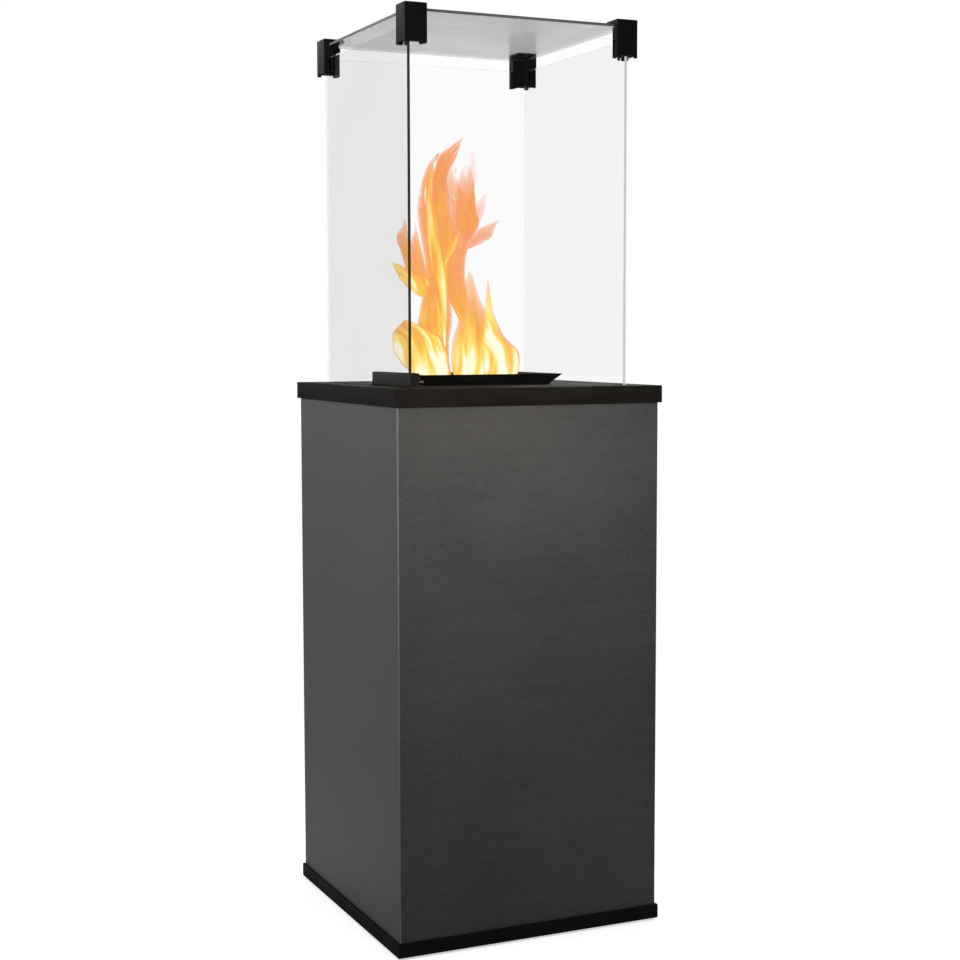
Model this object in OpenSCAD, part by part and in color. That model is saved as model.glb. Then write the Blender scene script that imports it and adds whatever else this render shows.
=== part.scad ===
// Gas patio heater: a square steel cabinet for the gas cylinder, with a burner in a glass
// chamber on top. +Z is up, the front faces -Y, and the origin is on the floor under the middle.

/* [Cabinet] */
// Outer width and depth of the cabinet wrap
body_w = 410; // [390:2:430]
// Height of the cabinet wrap
body_h = 749; // [700:5:850]
// Sheet thickness of the wrap and the door
sheet = 1.5; // [1.2:0.1:2]
// Outer radius of the wrap's upright folds
fold_r = 3; // [2.5:0.1:5]
// Width of the wrap's rear returns beside the door
jamb_w = 22; // [20:0.5:26]
// Depth of the wrap's top and bottom flanges
wrap_flange = 15; // [12:1:18]
// Leg of the corner posts
post_leg = 20; // [16:0.5:20]
// Thickness of the corner posts
post_t = 2; // [1.5:0.1:3]

/* [Base] */
// How far the plinth stands out past the wrap
plinth_out = 3; // [1:0.5:6]
// Height of the plinth
plinth_h = 20; // [16:1:30]
// Sheet thickness of the plinth, tray and floor
frame_sheet = 2; // [1.5:0.1:2.5]
// Width of the plinth's flanges
plinth_flange = 40; // [38:1:50]
// Distance from the plinth's edge to the middle of a foot
foot_in = 24; // [22:1:26]
// Diameter of a rubber foot
foot_d = 24; // [18:0.5:26]
// How far the feet stand below the plinth
foot_h = 3; // [2:0.5:8]
// Diameter of a foot's screw
foot_screw_d = 5; // [4:0.5:6]

/* [Floor] */
// Length of a vent slot in the floor
vent_l = 90; // [60:5:110]
// Width of a vent slot in the floor
vent_w = 10; // [6:1:14]
// Distance between vent slots in the floor
vent_pitch = 40; // [24:2:48]

/* [Tray] */
// How far the tray stands out past the wrap
tray_out = 4; // [1:0.5:6]
// Height of the tray's band
tray_h = 25; // [22:1:30]
// Depth of the tray's ledge under the surface
ledge_drop = 15; // [12:0.5:17]
// Width of the ledge inside the glass slot
ledge_in = 15; // [10:1:20]
// Width of the tray's lower flange
tray_flange = 24; // [18:1:26]

/* [Glass] */
// Width of the glass chamber over its faces
glass_w = 343; // [330:1:345]
// Glass thickness
glass_t = 4; // [4:0.5:6]
// Height of the upright panes
pane_h = 510; // [400:2:600]
// Gap between the upright panes and the ceiling pane
vent_gap = 17; // [12:0.5:30]
// Wall of the rubber glass gasket
gasket_t = 1.2; // [1:0.1:1.4]
// Thickness of the gasket under the glass
gasket_floor = 2; // [1.5:0.1:3]
// Clearance round the gasket in its slot
gasket_gap = 0.3; // [0.2:0.1:0.5]

/* [Corner clips] */
// Width of a clip
clip_w = 33; // [30:0.5:38]
// Height of a clip
clip_h = 54; // [48:1:66]
// How far a clip stands out past the glass
clip_out = 9; // [8.6:0.1:11]
// Thickness of a clip's top plate
clip_cap = 5; // [4:0.5:8]
// Thickness of a clip's inner and outer skins
clip_skin = 1.8; // [1.5:0.1:2]
// Width of the hollow inside a clip's outer wall
clip_hollow = 5; // [4:0.1:5]
// Clearance between a clip and the glass
clip_gap = 0.3; // [0.2:0.1:0.5]
// Height of the relief in a clip's lower edge
clip_notch_h = 3; // [2:0.5:6]
// Width of the relief in a clip's lower edge
clip_notch_w = 20; // [10:1:22]
// Thickness of the soft pad over the ceiling pane
pad_t = 1; // [0.5:0.1:2]
// Diameter of the soft pad and its grub screw
grub_d = 6; // [5:0.5:8]

/* [Burner] */
// Depth of the dish at its rim
dish_d = 156; // [150:2:200]
// Height of the dish, and the width of its slope
dish_h = 15.5; // [12:0.5:20]
// Sheet thickness of the burner parts
burner_sheet = 1.5; // [1.2:0.1:2]
// Distance from the foot of the dish to the burner box, at its sides
box_side = 21.5; // [16:0.5:36]
// Depth of the burner box
box_d = 84; // [70:2:86]
// Height of the burner box
box_h = 30; // [24:1:36]
// Width of the burner box's flange
box_flange = 10; // [9:0.5:12]
// Diameter of a flame port
port_d = 4; // [3:0.1:5]
// Distance between flame ports
port_pitch = 9; // [7:0.5:12]
// Throat diameter of the venturi tube
throat_d = 16; // [12:1:20]
// Mouth diameter of the venturi tube
mouth_d = 32; // [26:1:36]
// Length of the venturi tube
venturi_l = 56; // [48:1:60]

/* [Igniter housing] */
// Distance from the left pane to the igniter housing
housing_in = 20.5; // [17:0.5:26]
// Width of the igniter housing
housing_w = 15; // [14:0.5:20]
// Length of the igniter housing
housing_l = 146; // [120:2:150]
// Height of the igniter housing
housing_h = 19; // [16:0.5:24]
// How far the housing's middle lies in front of the burner's middle
housing_shift = 36; // [20:1:40]
// Gap between the housing and the dish's rim
housing_gap = 19; // [14:0.5:24]

/* [Controls] */
// Distance from the rear of the wrap to the control panel
panel_in = 45; // [40:1:60]
// Diameter of the control knob
knob_d = 44; // [36:1:50]
// Height of the control knob
knob_h = 20; // [16:1:24]
// Travel of the knob when it is pressed
knob_travel = 3; // [2:0.5:4]
// Diameter of the valve stem
stem_d = 8; // [6:0.5:10]
// Diameter of the igniter button
button_d = 15; // [12:0.5:18]
// Travel of the igniter button
button_travel = 4; // [2:0.5:5]
// Outer diameter of the gas inlet's nipple
inlet_d = 13.2; // [12:0.1:14]
// Length of the gas inlet's nipple
inlet_l = 16; // [12:1:20]
// Diameter of the main gas tube
gas_tube_d = 6; // [5:0.5:8]
// Diameter of the pilot tube
pilot_tube_d = 4; // [3:0.5:5]
// Diameter of the thermocouple's and the spark plug's leads
lead_d = 3; // [2:0.5:4]

/* [Door] */
// Gap all round the door
door_gap = 3; // [2.5:0.1:4]
// Depth of the door's folded edge
door_t = 12; // [11:0.5:13]
// How far the door lies inside the wrap's rear face
door_in = 1; // [0.5:0.1:2]
// Distance from the door's edge to its pivot
pivot_in = 8; // [8:0.5:12]
// Diameter of the pivot pins
pivot_d = 6; // [5:0.1:6]
// Length of a louvre
louvre_w = 90; // [60:5:110]
// Distance between louvres
louvre_pitch = 22; // [18:1:30]
// Louvres one above another in each bank
louvre_rows = 6; // [2:1:8]
// How far a louvre stands out of the door
louvre_out = 3.5; // [2:0.5:4]
// Length of the finger slot
finger_l = 90; // [80:5:120]
// Width of the finger slot
finger_w = 22; // [20:1:26]

/* [Hidden] */
$fn = 48;
// Running clearance between a shaft and its hole
run = 0.05;
// Clearance between pieces that only seat side by side
seat = 0.3;

// Heights, from the floor up
plinth_z = foot_h;
wrap_z = plinth_z + plinth_h;
tray_z = wrap_z + body_h;
top_z = tray_z + tray_h;
ledge_z = top_z - ledge_drop;
pane_z = ledge_z + gasket_floor;
pane_top = pane_z + pane_h;
ceiling_z = pane_top + vent_gap;
clip_top = ceiling_z + glass_t + pad_t + clip_cap;
clip_z = clip_top - clip_h;

// Half widths, from the middle out
body_r = body_w / 2;
wall_r = body_r - sheet;
plinth_r = body_r + plinth_out;
tray_r = body_r + tray_out;
glass_r = glass_w / 2;
glass_in = glass_r - glass_t;
slot_out = glass_r + gasket_t + gasket_gap;
slot_in = glass_in - gasket_t - gasket_gap;
ledge_r = slot_in - ledge_in;
clip_r = glass_r + clip_out;
clip_c = clip_r - clip_w / 2;

// Gasket: the gap at the side strips' ends, and how far its top lies under the tray's surface
gasket_end = 0.2;
gasket_low = 1;
side_reach = glass_in - gasket_t - gasket_end;

// Igniter housing beside the left pane, the dish that fills the width, and the box inside it
housing_x = -(glass_in - housing_in - housing_w / 2);
housing_y = -housing_shift;
dish_w = -2 * (housing_x + housing_w / 2 + housing_gap);
foot_w = dish_w - 2 * dish_h;
box_w = foot_w - 2 * box_side;

// Flame ports that fit over the burner box, and the screws at the corners of its flange
port_edge = 10;
port_cols = floor((box_w - 2 * port_edge) / port_pitch) + 1;
port_rows = floor((box_d - 2 * port_edge) / port_pitch) + 1;
screw_d = 4;
screw_in = 4;
screw_x = box_w / 2 + box_flange - screw_in;
screw_y = box_d / 2 + box_flange - screw_in;
// Gap between the burner box and its cut-out in the hearth plate
cut_gap = 2;

// Burner heights, and how far a gas tube goes into its socket
box_z = top_z + burner_sheet - box_h;
plate_top = top_z + 2 * burner_sheet;
venturi_z = box_z - venturi_l;
venturi_neck = throat_d + 8;
neck_below = 4;
neck_above = 6;
neck_flare = 10;
mouth_lip = 3;
strap_t = 2;
strap_w = 20;
strap_drop = 14;
strap_z = venturi_z - strap_drop;
injector_d = 10;
injector_h = 18;
injector_hex = 14;
injector_hex_h = 6;
injector_z = strap_z - injector_hex_h;
jet_d = 1.6;
tube_in = 5;
gas_bend = 9;
gas_z = injector_z - gas_bend - 1;
shield_drop = 17;
shield_z = gas_z - shield_drop;
shield_lip = 16;

// Control panel and what is on it
panel_y = body_r - panel_in;
panel_t = 2;
valve_w = 50;
valve_d = 40;
valve_h = 44;
valve_front = panel_y - panel_t - seat;
valve_y = valve_front - valve_d / 2;
valve_z = gas_z - 8;
stem_z = valve_z + valve_h / 2;
bonnet_d = 34;
bonnet_t = 4;
outlet_d = 14;
outlet_l = 10;
union_d = 10;
union_l = 8;
union_z = stem_z + 8;
lead_in = 3;
stem_in = 12;
stem_hole = stem_d + 6;
dial_d = knob_d + 14;
dial_hole = 36;
dial_t = 1.5;
knob_y = panel_y + dial_t + knob_travel + 1;
knob_roof = 3;
collar_w = 5;
collar_t = 1.6;
valve_screw_x = 12;
valve_screw_l = 8;
valve_screw_head = 1.8;
igniter_x = 78;
igniter_d = 24;
igniter_l = 46;
igniter_back = panel_y - panel_t - igniter_l;
bezel_d = button_d + 10;
bezel_t = 3;
button_in = 18;
button_out = button_travel + 4;
panel_fold = 14;

// Gas inlet, under the heat shield
inlet_hex = 20;
inlet_bore = 6;
inlet_neck = 10;
inlet_neck_h = 8;
inlet_z = shield_z - 4;

// Pilot group, inside the igniter housing: how far its cut-out goes past the outer pieces, and
// the sill and head of the windows that its flame passes
pilot_x = housing_x;
pilot_y = -34;
pilot_step = 11;
thermo_y = pilot_y + pilot_step;
spark_y = pilot_y - pilot_step;
pilot_cut = 9;
window_sill = 3;
window_head = 4;
// Plate under the tray's ledge that carries the pilot pieces
bracket_t = 2;
bracket_z = ledge_z - frame_sheet - bracket_t;
bracket_out = 10;
// Collars under the bracket, with the tubes' sockets
collar_r = 4.5;
collar_drop = 10;
pilot_d = 7;
thermo_d = 6;
spark_d = 7;
lead_end = bracket_z - collar_drop + tube_in;
side_bend = 12;
spark_front = 40;
spark_aside = 16;
spark_z = stem_z + 24;

// Door
door_r = body_r - jamb_w - door_gap;
door_y = body_r - door_in;
sill_h = 15;
sill_top = wrap_z + sill_h;
header_h = 20;
header_z = tray_z - header_h;
door_z = sill_top + door_gap;
door_top = header_z - door_gap;
pivot_x = -(door_r - pivot_in);
pivot_y = door_y - door_t / 2;
rail_d = 15;
rail_web = sheet + 4;
block_w = 16;
block_h = 14;
pin_in = 8;
magnet_in = 30;
magnet_x = door_r - magnet_in;
magnet_w = 30;
magnet_d = 8;
magnet_h = 10;
strike_t = 1.2;
strike_more = 4;
finger_in = 28;
finger_x = door_r - finger_in;
finger_z = (door_z + door_top) / 2;
finger_deep = 5;
louvre_x = 62;
louvre_skin = 0.9;
bank_x = -12;
bank_in = 45;
bank_h = (louvre_rows - 1) * louvre_pitch;

// Feet: the pad's chamfer, the hollow under it, its neck, and the head over the flange
foot_c = plinth_r - foot_in;
foot_edge = 1;
foot_hollow = 0.8;
foot_neck = foot_screw_d + 5;
foot_head = 3;
foot_grip = plinth_z + frame_sheet;

corners = [[-1, -1], [1, -1], [-1, 1], [1, 1]];

graphite = [0.24, 0.235, 0.23];
black = [0.075, 0.072, 0.07];
dark = [0.12, 0.12, 0.12];
steel = [0.62, 0.62, 0.62];
brass = [0.78, 0.6, 0.3];
copper = [0.72, 0.43, 0.29];
glass_tint = [0.86, 0.93, 0.92, 0.3];
rubber = [0.1, 0.1, 0.1];
ceramic = [0.9, 0.88, 0.84];
red = [0.62, 0.1, 0.08];

// A square slab between two heights, with half width r
module slab(r, z0, z1) {
    translate([-r, -r, z0]) cube([2 * r, 2 * r, z1 - z0]);
}

// A square ring between two heights, with half widths r_out and r_in
module ring(r_out, r_in, z0, z1) {
    translate([0, 0, z0]) linear_extrude(z1 - z0) difference() {
        square(2 * r_out, center = true);
        square(2 * r_in, center = true);
    }
}

// A block given by its lowest and highest corners
module block(a, b) {
    translate(a) cube(b - a);
}

// A flat square with true round corners
module round_square(r, c) {
    square([2 * r - 2 * c, 2 * r], center = true);
    square([2 * r, 2 * r - 2 * c], center = true);
    for (s = corners) translate([s[0] * (r - c), s[1] * (r - c)]) circle(c);
}

// An oblong hole or bar with round ends, of length l over its ends
module oblong(l, w) {
    square([l - w, w], center = true);
    for (s = [-1, 1]) translate([s * (l - w) / 2, 0]) circle(d = w);
}

// A cylinder that lies along +Y from y0 to y1
module rod_y(x, y0, y1, z, d) {
    translate([x, y0, z]) rotate([-90, 0, 0]) cylinder(h = y1 - y0, d = d);
}

// A hexagonal bar along +Z, w across its flats
module hex(w, h) {
    cylinder(h = h, d = w / cos(30), $fn = 6);
}

// Turns +Y into direction d and +X into direction -n, for the bends of a tube
function turn(d, n) =
    let (z = cross(d, n), m20 = -n[2], m21 = d[2], m22 = z[2])
    abs(m20) > 0.999
        ? [0, m20 > 0 ? -90 : 90, atan2(-d[0], d[1])]
        : [atan2(m21, m22), asin(-m20), atan2(-n[1], -n[0])];

function unit(v) = v / norm(v);

// A straight run of tube between two points
module run_tube(a, b, d) {
    v = b - a;
    translate(a) rotate([0, acos(v[2] / norm(v)), atan2(v[1], v[0])])
        cylinder(h = norm(v), d = d);
}

// A bent tube through the points, with right-angle bends of radius r
module bent_tube(points, d, r) {
    last = len(points) - 1;
    for (i = [0 : last - 1]) {
        way = unit(points[i + 1] - points[i]);
        run_tube(points[i] + (i > 0 ? r : 0) * way,
                 points[i + 1] - (i < last - 1 ? r : 0) * way, d);
    }
    for (i = [1 : last - 1]) {
        come = unit(points[i] - points[i - 1]);
        go = unit(points[i + 1] - points[i]);
        translate(points[i] - r * come + r * go) rotate(turn(come, go))
            rotate_extrude(angle = 90) translate([r, 0]) circle(d = d);
    }
}

// Folded C-shaped ring under the cabinet, with a hole for each foot's neck
module base_plinth() {
    color(black) difference() {
        union() {
            ring(plinth_r, plinth_r - frame_sheet, plinth_z, wrap_z);
            ring(plinth_r, plinth_r - plinth_flange, plinth_z, plinth_z + frame_sheet);
            ring(plinth_r, plinth_r - plinth_flange, wrap_z - frame_sheet, wrap_z);
        }
        for (s = corners) translate([s[0] * foot_c, s[1] * foot_c, plinth_z - 1])
            cylinder(h = frame_sheet + 2, d = foot_neck + 2 * run);
    }
}

// Rubber feet: a pad with a flat sole, a neck through the plinth's flange, and a head on it
module feet() {
    bore = foot_screw_d / 2 + run;
    hollow = foot_d / 4;
    neck = foot_neck / 2;
    color(rubber) for (s = corners) translate([s[0] * foot_c, s[1] * foot_c, 0])
        rotate_extrude() polygon([
            [bore, foot_hollow], [hollow - foot_hollow, foot_hollow], [hollow, 0],
            [foot_d / 2 - foot_edge, 0], [foot_d / 2, foot_edge], [foot_d / 2, plinth_z],
            [neck, plinth_z], [neck, foot_grip], [neck + 1.5, foot_grip],
            [neck + 0.5, foot_grip + foot_head], [bore, foot_grip + foot_head]]);
}

// The screws that spread the feet's necks, with domed heads above them
module foot_screws() {
    grip = foot_grip + foot_head;
    color(steel) for (s = corners) translate([s[0] * foot_c, s[1] * foot_c, 0])
        rotate_extrude() polygon([
            [0, foot_edge], [foot_screw_d / 2, foot_edge], [foot_screw_d / 2, grip],
            [foot_screw_d, grip], [foot_screw_d * 0.8, grip + 2], [0, grip + 3]]);
}

// Floor that the gas cylinder stands on, with slots that let leaked gas fall out
module floor_plate() {
    floor_r = body_r - wrap_flange - seat;
    color(dark) difference() {
        block([-floor_r, -floor_r, wrap_z],
              [floor_r, body_r - rail_d - seat, wrap_z + frame_sheet]);
        for (i = [-3 : 3], s = [-1, 1])
            translate([i * vent_pitch, s * floor_r / 2, wrap_z - 1])
                linear_extrude(frame_sheet + 2) rotate(90) oblong(vent_l, vent_w);
    }
}

// One sheet folded round the front and both sides, with returns beside the door
module cabinet_wrap() {
    color(graphite) {
        translate([0, 0, wrap_z]) linear_extrude(body_h) difference() {
            round_square(body_r, fold_r);
            round_square(wall_r, fold_r - sheet);
            translate([0, body_r]) square([2 * (body_r - jamb_w), 4 * sheet], center = true);
        }
        for (z = [wrap_z, tray_z - sheet]) translate([0, 0, z]) linear_extrude(sheet)
            difference() {
                round_square(body_r - sheet / 2, fold_r - sheet / 2);
                translate([0, rail_d])
                    square([2 * (body_r - wrap_flange), 2 * body_r - 2 * wrap_flange + 2 * rail_d],
                           center = true);
                translate([0, body_r])
                    square([2 * (body_r - jamb_w), 4 * rail_d], center = true);
            }
    }
}

// Angle sections in the four corners, between the wrap's flanges
module corner_posts() {
    color(dark) for (s = corners) scale_xy(s)
        translate([0, 0, wrap_z + sheet]) linear_extrude(body_h - 2 * sheet) difference() {
            translate([wall_r - post_leg, wall_r - post_leg]) square(post_leg);
            translate([wall_r - post_leg - 1, wall_r - post_leg - 1])
                square(post_leg + 1 - post_t);
            translate([wall_r, wall_r]) circle(fold_r, $fn = 4);
        }
}

// Puts what is drawn in the +X +Y quarter into the quarter with signs s
module scale_xy(s) {
    mirror([s[0] < 0 ? 1 : 0, 0, 0]) mirror([0, s[1] < 0 ? 1 : 0, 0]) children();
}

// Rail under the door, with the lower pivot's hole
module rear_sill() {
    half = body_r - jamb_w;
    color(graphite) difference() {
        block([-half, body_r - rail_d, wrap_z], [half, body_r, sill_top]);
        block([-half - 1, body_r - rail_d - 1, wrap_z - 1],
              [half + 1, body_r - sheet, sill_top - rail_web]);
        translate([pivot_x, pivot_y, wrap_z]) cylinder(h = 40, d = pivot_d + 2 * run);
    }
}

// Rail over the door, with the upper pivot's hole
module rear_header() {
    half = body_r - jamb_w;
    color(graphite) difference() {
        block([-half, body_r - rail_d, header_z], [half, body_r, tray_z]);
        block([-half - 1, body_r - rail_d - 1, header_z + rail_web],
              [half + 1, body_r - sheet, tray_z + 1]);
        translate([pivot_x, pivot_y, header_z - 1]) cylinder(h = 40, d = pivot_d + 2 * run);
    }
}

// Folded tray: band, top, lower flange, and the channel that the glass stands in
module top_tray() {
    color(black) {
        ring(tray_r, tray_r - frame_sheet, tray_z, top_z);
        ring(tray_r, slot_out, top_z - frame_sheet, top_z);
        ring(tray_r, tray_r - tray_flange, tray_z, tray_z + frame_sheet);
        ring(slot_out + frame_sheet, slot_out, ledge_z - frame_sheet, top_z);
        ring(slot_out + frame_sheet, ledge_r, ledge_z - frame_sheet, ledge_z);
    }
}

// Plate inside the glass, folded down onto the ledge, with the burner's and pilot's cut-outs
module hearth_plate() {
    cut_x = box_w / 2 + cut_gap;
    cut_y = box_d / 2 + cut_gap;
    pilot_in = housing_w / 2 - burner_sheet;
    color(black) difference() {
        union() {
            slab(slot_in, top_z - frame_sheet, top_z);
            ring(slot_in, slot_in - frame_sheet, ledge_z, top_z);
        }
        block([-cut_x, -cut_y, ledge_z], [cut_x, cut_y, top_z + 1]);
        block([pilot_x - pilot_in, spark_y - pilot_cut, ledge_z],
              [pilot_x + pilot_in, thermo_y + pilot_cut, top_z + 1]);
        for (s = corners) translate([s[0] * screw_x, s[1] * screw_y, ledge_z])
            cylinder(h = 40, d = screw_d + 2 * run);
    }
}

// Tray under the burner space that keeps its heat off the gas cylinder
module heat_shield() {
    r = wall_r - seat;
    notch = post_leg + fold_r + 1;
    lip = shield_z + shield_lip;
    color(steel) difference() {
        union() {
            block([-r, -r, shield_z], [r, panel_y, shield_z + sheet]);
            for (x = [-r, r - sheet])
                block([x, -r + notch, shield_z], [x + sheet, panel_y, lip]);
            block([-r + notch, -r, shield_z], [r - notch, -r + sheet, lip]);
        }
        for (s = [-1, 1]) translate([s * r, -r, shield_z + sheet / 2])
            cube([2 * notch, 2 * notch, 4 * sheet], center = true);
        translate([0, valve_y, shield_z - 1]) cylinder(h = 10, d = inlet_hex + 10);
    }
}

// One U-shaped strip of gasket of length l round the foot of a pane, along X
module gasket_strip(l) {
    half = glass_t / 2 + gasket_t;
    difference() {
        block([-l / 2, -half, ledge_z], [l / 2, half, top_z - gasket_low]);
        block([-l / 2 - 1, -glass_t / 2, pane_z], [l / 2 + 1, glass_t / 2, top_z]);
    }
}

// Four strips in the tray's channel
module glass_gasket() {
    mid = glass_r - glass_t / 2;
    color(rubber) for (s = [-1, 1]) {
        translate([0, s * mid, 0]) gasket_strip(glass_w + 2 * gasket_t);
        translate([s * mid, 0, 0]) rotate(90) gasket_strip(2 * side_reach);
    }
}

// A pane across the front or the back, over the full width of the chamber
module wide_pane(y) {
    color(glass_tint) block([-glass_r, y, pane_z], [glass_r, y + glass_t, pane_top]);
}

// A pane at one side, between the front and rear gaskets
module side_pane(x) {
    color(glass_tint) block([x, -side_reach, pane_z], [x + glass_t, side_reach, pane_top]);
}

module front_glass() { wide_pane(-glass_r); }
module rear_glass() { wide_pane(glass_in); }
module left_glass() { side_pane(-glass_r); }
module right_glass() { side_pane(glass_in); }

// The pane that lies flat on the clips' shelves
module top_glass() {
    color(glass_tint) slab(glass_r, ceiling_z, ceiling_z + glass_t);
}

// A corner clip, drawn in the +X +Y quarter: a square cap over an L-shaped body. Slots hold
// the upright panes and the ceiling pane, and the outer wall is hollow from below.
module corner_clip(s) {
    arm = glass_in - clip_gap - clip_skin;
    low = clip_r - clip_w;
    hollow_out = clip_r - clip_skin;
    hollow_in = hollow_out - clip_hollow;
    color(black) scale_xy(s) difference() {
        union() {
            block([low, low, ceiling_z + glass_t], [clip_r, clip_r, clip_top]);
            block([low, arm, clip_z], [clip_r, clip_r, clip_top]);
            block([arm, low, clip_z], [clip_r, clip_r, clip_top]);
        }
        block([low - 1, low - 1, ceiling_z],
              [glass_r + clip_gap, glass_r + clip_gap, clip_top - clip_cap]);
        block([low - 1, glass_in - clip_gap, clip_z - 1],
              [glass_r + clip_gap, glass_r + clip_gap, pane_top + clip_gap]);
        block([glass_in - clip_gap, low - 1, clip_z - 1],
              [glass_r + clip_gap, glass_r + clip_gap, pane_top + clip_gap]);
        block([low + clip_skin, hollow_in, clip_z - 1],
              [hollow_out, hollow_out, ceiling_z - 2]);
        block([hollow_in, low + clip_skin, clip_z - 1],
              [hollow_out, hollow_out, ceiling_z - 2]);
        block([clip_c - clip_notch_w / 2, arm - 1, clip_z - 1],
              [clip_c + clip_notch_w / 2, clip_r + 1, clip_z + clip_notch_h]);
        block([arm - 1, clip_c - clip_notch_w / 2, clip_z - 1],
              [clip_r + 1, clip_c + clip_notch_w / 2, clip_z + clip_notch_h]);
        translate([clip_c, clip_c, ceiling_z]) cylinder(h = 20, d = grub_d + 2 * run);
    }
}

module clip_front_left() { corner_clip([-1, -1]); }
module clip_front_right() { corner_clip([1, -1]); }
module clip_rear_left() { corner_clip([-1, 1]); }
module clip_rear_right() { corner_clip([1, 1]); }

// Soft pads between the grub screws and the ceiling pane
module clip_pads() {
    color(rubber) for (s = corners)
        translate([s[0] * clip_c, s[1] * clip_c, ceiling_z + glass_t])
            cylinder(h = pad_t, d = grub_d + 4);
}

// Grub screws with hexagon sockets that press the pads onto the ceiling pane
module clip_screws() {
    color(steel) for (s = corners)
        translate([s[0] * clip_c, s[1] * clip_c, clip_top - clip_cap]) difference() {
            cylinder(h = clip_cap - 0.5, d = grub_d);
            translate([0, 0, clip_cap - 3]) hex(grub_d / 2, 4);
        }
}

// A solid with sloping sides, w by d at z0 and wider by 2 * out at z1
module flare(w, d, out, z0, z1) {
    hull() {
        translate([-w / 2, -d / 2, z0]) cube([w, d, 0.01]);
        translate([-w / 2 - out, -d / 2 - out, z1 - 0.01]) cube([w + 2 * out, d + 2 * out, 0.01]);
    }
}

// Flared collar round the burner, with a flat inner flange on the hearth plate, and a notch in
// its left side for the pilot's flame
module burner_dish() {
    foot_l = dish_d - 2 * dish_h;
    in_w = box_w + 2 * box_flange + 1;
    in_d = box_d + 2 * box_flange + 1;
    skin = burner_sheet * sqrt(2);
    color(black) difference() {
        flare(foot_w, foot_l, dish_h, top_z, top_z + dish_h);
        translate([0, 0, burner_sheet])
            flare(foot_w - 2 * skin + 2 * burner_sheet, foot_l - 2 * skin + 2 * burner_sheet,
                  dish_h, top_z, top_z + dish_h);
        block([-in_w / 2, -in_d / 2, top_z - 1], [in_w / 2, in_d / 2, top_z + dish_h]);
        block([-dish_w / 2 - 1, spark_y - pilot_cut, top_z + window_sill],
              [-foot_w / 2 + skin, thermo_y + pilot_cut, top_z + dish_h + 1]);
    }
}

// Pan that feeds the port plate, hung by its flange in the hearth plate's cut-out
module burner_box() {
    w = box_w / 2;
    d = box_d / 2;
    color(steel) difference() {
        union() {
            block([-w, -d, box_z], [w, d, top_z + burner_sheet]);
            block([-w - box_flange, -d - box_flange, top_z],
                  [w + box_flange, d + box_flange, top_z + burner_sheet]);
        }
        block([-w + burner_sheet, -d + burner_sheet, box_z + burner_sheet],
              [w - burner_sheet, d - burner_sheet, top_z + 10]);
        translate([0, 0, box_z - 1]) cylinder(h = 10, d = venturi_neck + 2 * run);
        for (s = corners) translate([s[0] * screw_x, s[1] * screw_y, top_z - 1])
            cylinder(h = 10, d = screw_d + 2 * run);
    }
}

// Port plate with rows of drilled flame ports
module burner_plate() {
    w = box_w / 2 + box_flange;
    d = box_d / 2 + box_flange;
    color(steel) difference() {
        block([-w, -d, top_z + burner_sheet], [w, d, plate_top]);
        for (i = [0 : port_cols - 1], j = [0 : port_rows - 1])
            translate([(i - (port_cols - 1) / 2) * port_pitch,
                       (j - (port_rows - 1) / 2) * port_pitch, top_z])
                cylinder(h = 10, d = port_d, $fn = 16);
        for (s = corners) translate([s[0] * screw_x, s[1] * screw_y, top_z])
            cylinder(h = 10, d = screw_d + 2 * run);
    }
}

// Pan-head screws through the port plate, the box's flange and the hearth plate
module burner_screws() {
    shank = screw_d / 2;
    color(dark) for (s = corners) translate([s[0] * screw_x, s[1] * screw_y, 0])
        rotate_extrude() polygon([
            [0, top_z - 6], [shank, top_z - 6], [shank, plate_top],
            [1.75 * shank, plate_top], [1.5 * shank, plate_top + 2], [0, plate_top + 2.4]]);
}

// Mixing tube: a bell mouth, a throat and a flared upper end in the burner box's floor
module venturi_tube() {
    wall = burner_sheet;
    throat = throat_d / 2;
    mouth = mouth_d / 2;
    neck = venturi_neck / 2;
    bell = mouth_lip + mouth - throat;
    shoulder = venturi_l - neck_below;
    end = venturi_l + neck_above;
    color(steel) translate([0, 0, venturi_z]) rotate_extrude() polygon([
        [mouth - wall, 0], [mouth, 0], [mouth, mouth_lip], [throat + wall, bell],
        [throat + wall, shoulder - neck_flare], [neck, shoulder], [neck, end],
        [neck - wall, end], [neck - wall, shoulder], [throat, shoulder - neck_flare],
        [throat, bell], [mouth - wall, mouth_lip]]);
}

// Strap under the burner box that holds the injector in line with the venturi
module injector_bracket() {
    leg = mouth_d / 2 + 4;
    color(steel) difference() {
        block([-leg - strap_t, -strap_w / 2, strap_z], [leg + strap_t, strap_w / 2, box_z]);
        block([-leg, -strap_w, strap_z + strap_t], [leg, strap_w, box_z + 1]);
        translate([0, 0, strap_z - 1]) cylinder(h = 5, d = injector_d + 2 * run);
    }
}

// Brass injector: hexagon under the strap, neck through it, and a drilled tip
module injector() {
    color(brass) translate([0, 0, injector_z]) difference() {
        union() {
            hex(injector_hex, injector_hex_h);
            cylinder(h = injector_h, d = injector_d);
            translate([0, 0, injector_h]) cylinder(h = 3, d1 = injector_d, d2 = injector_d / 2);
        }
        translate([0, 0, -1]) cylinder(h = tube_in + 2, d = gas_tube_d + 2 * run);
        translate([0, 0, 1]) cylinder(h = injector_h + 4, d = jet_d);
    }
}

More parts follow.
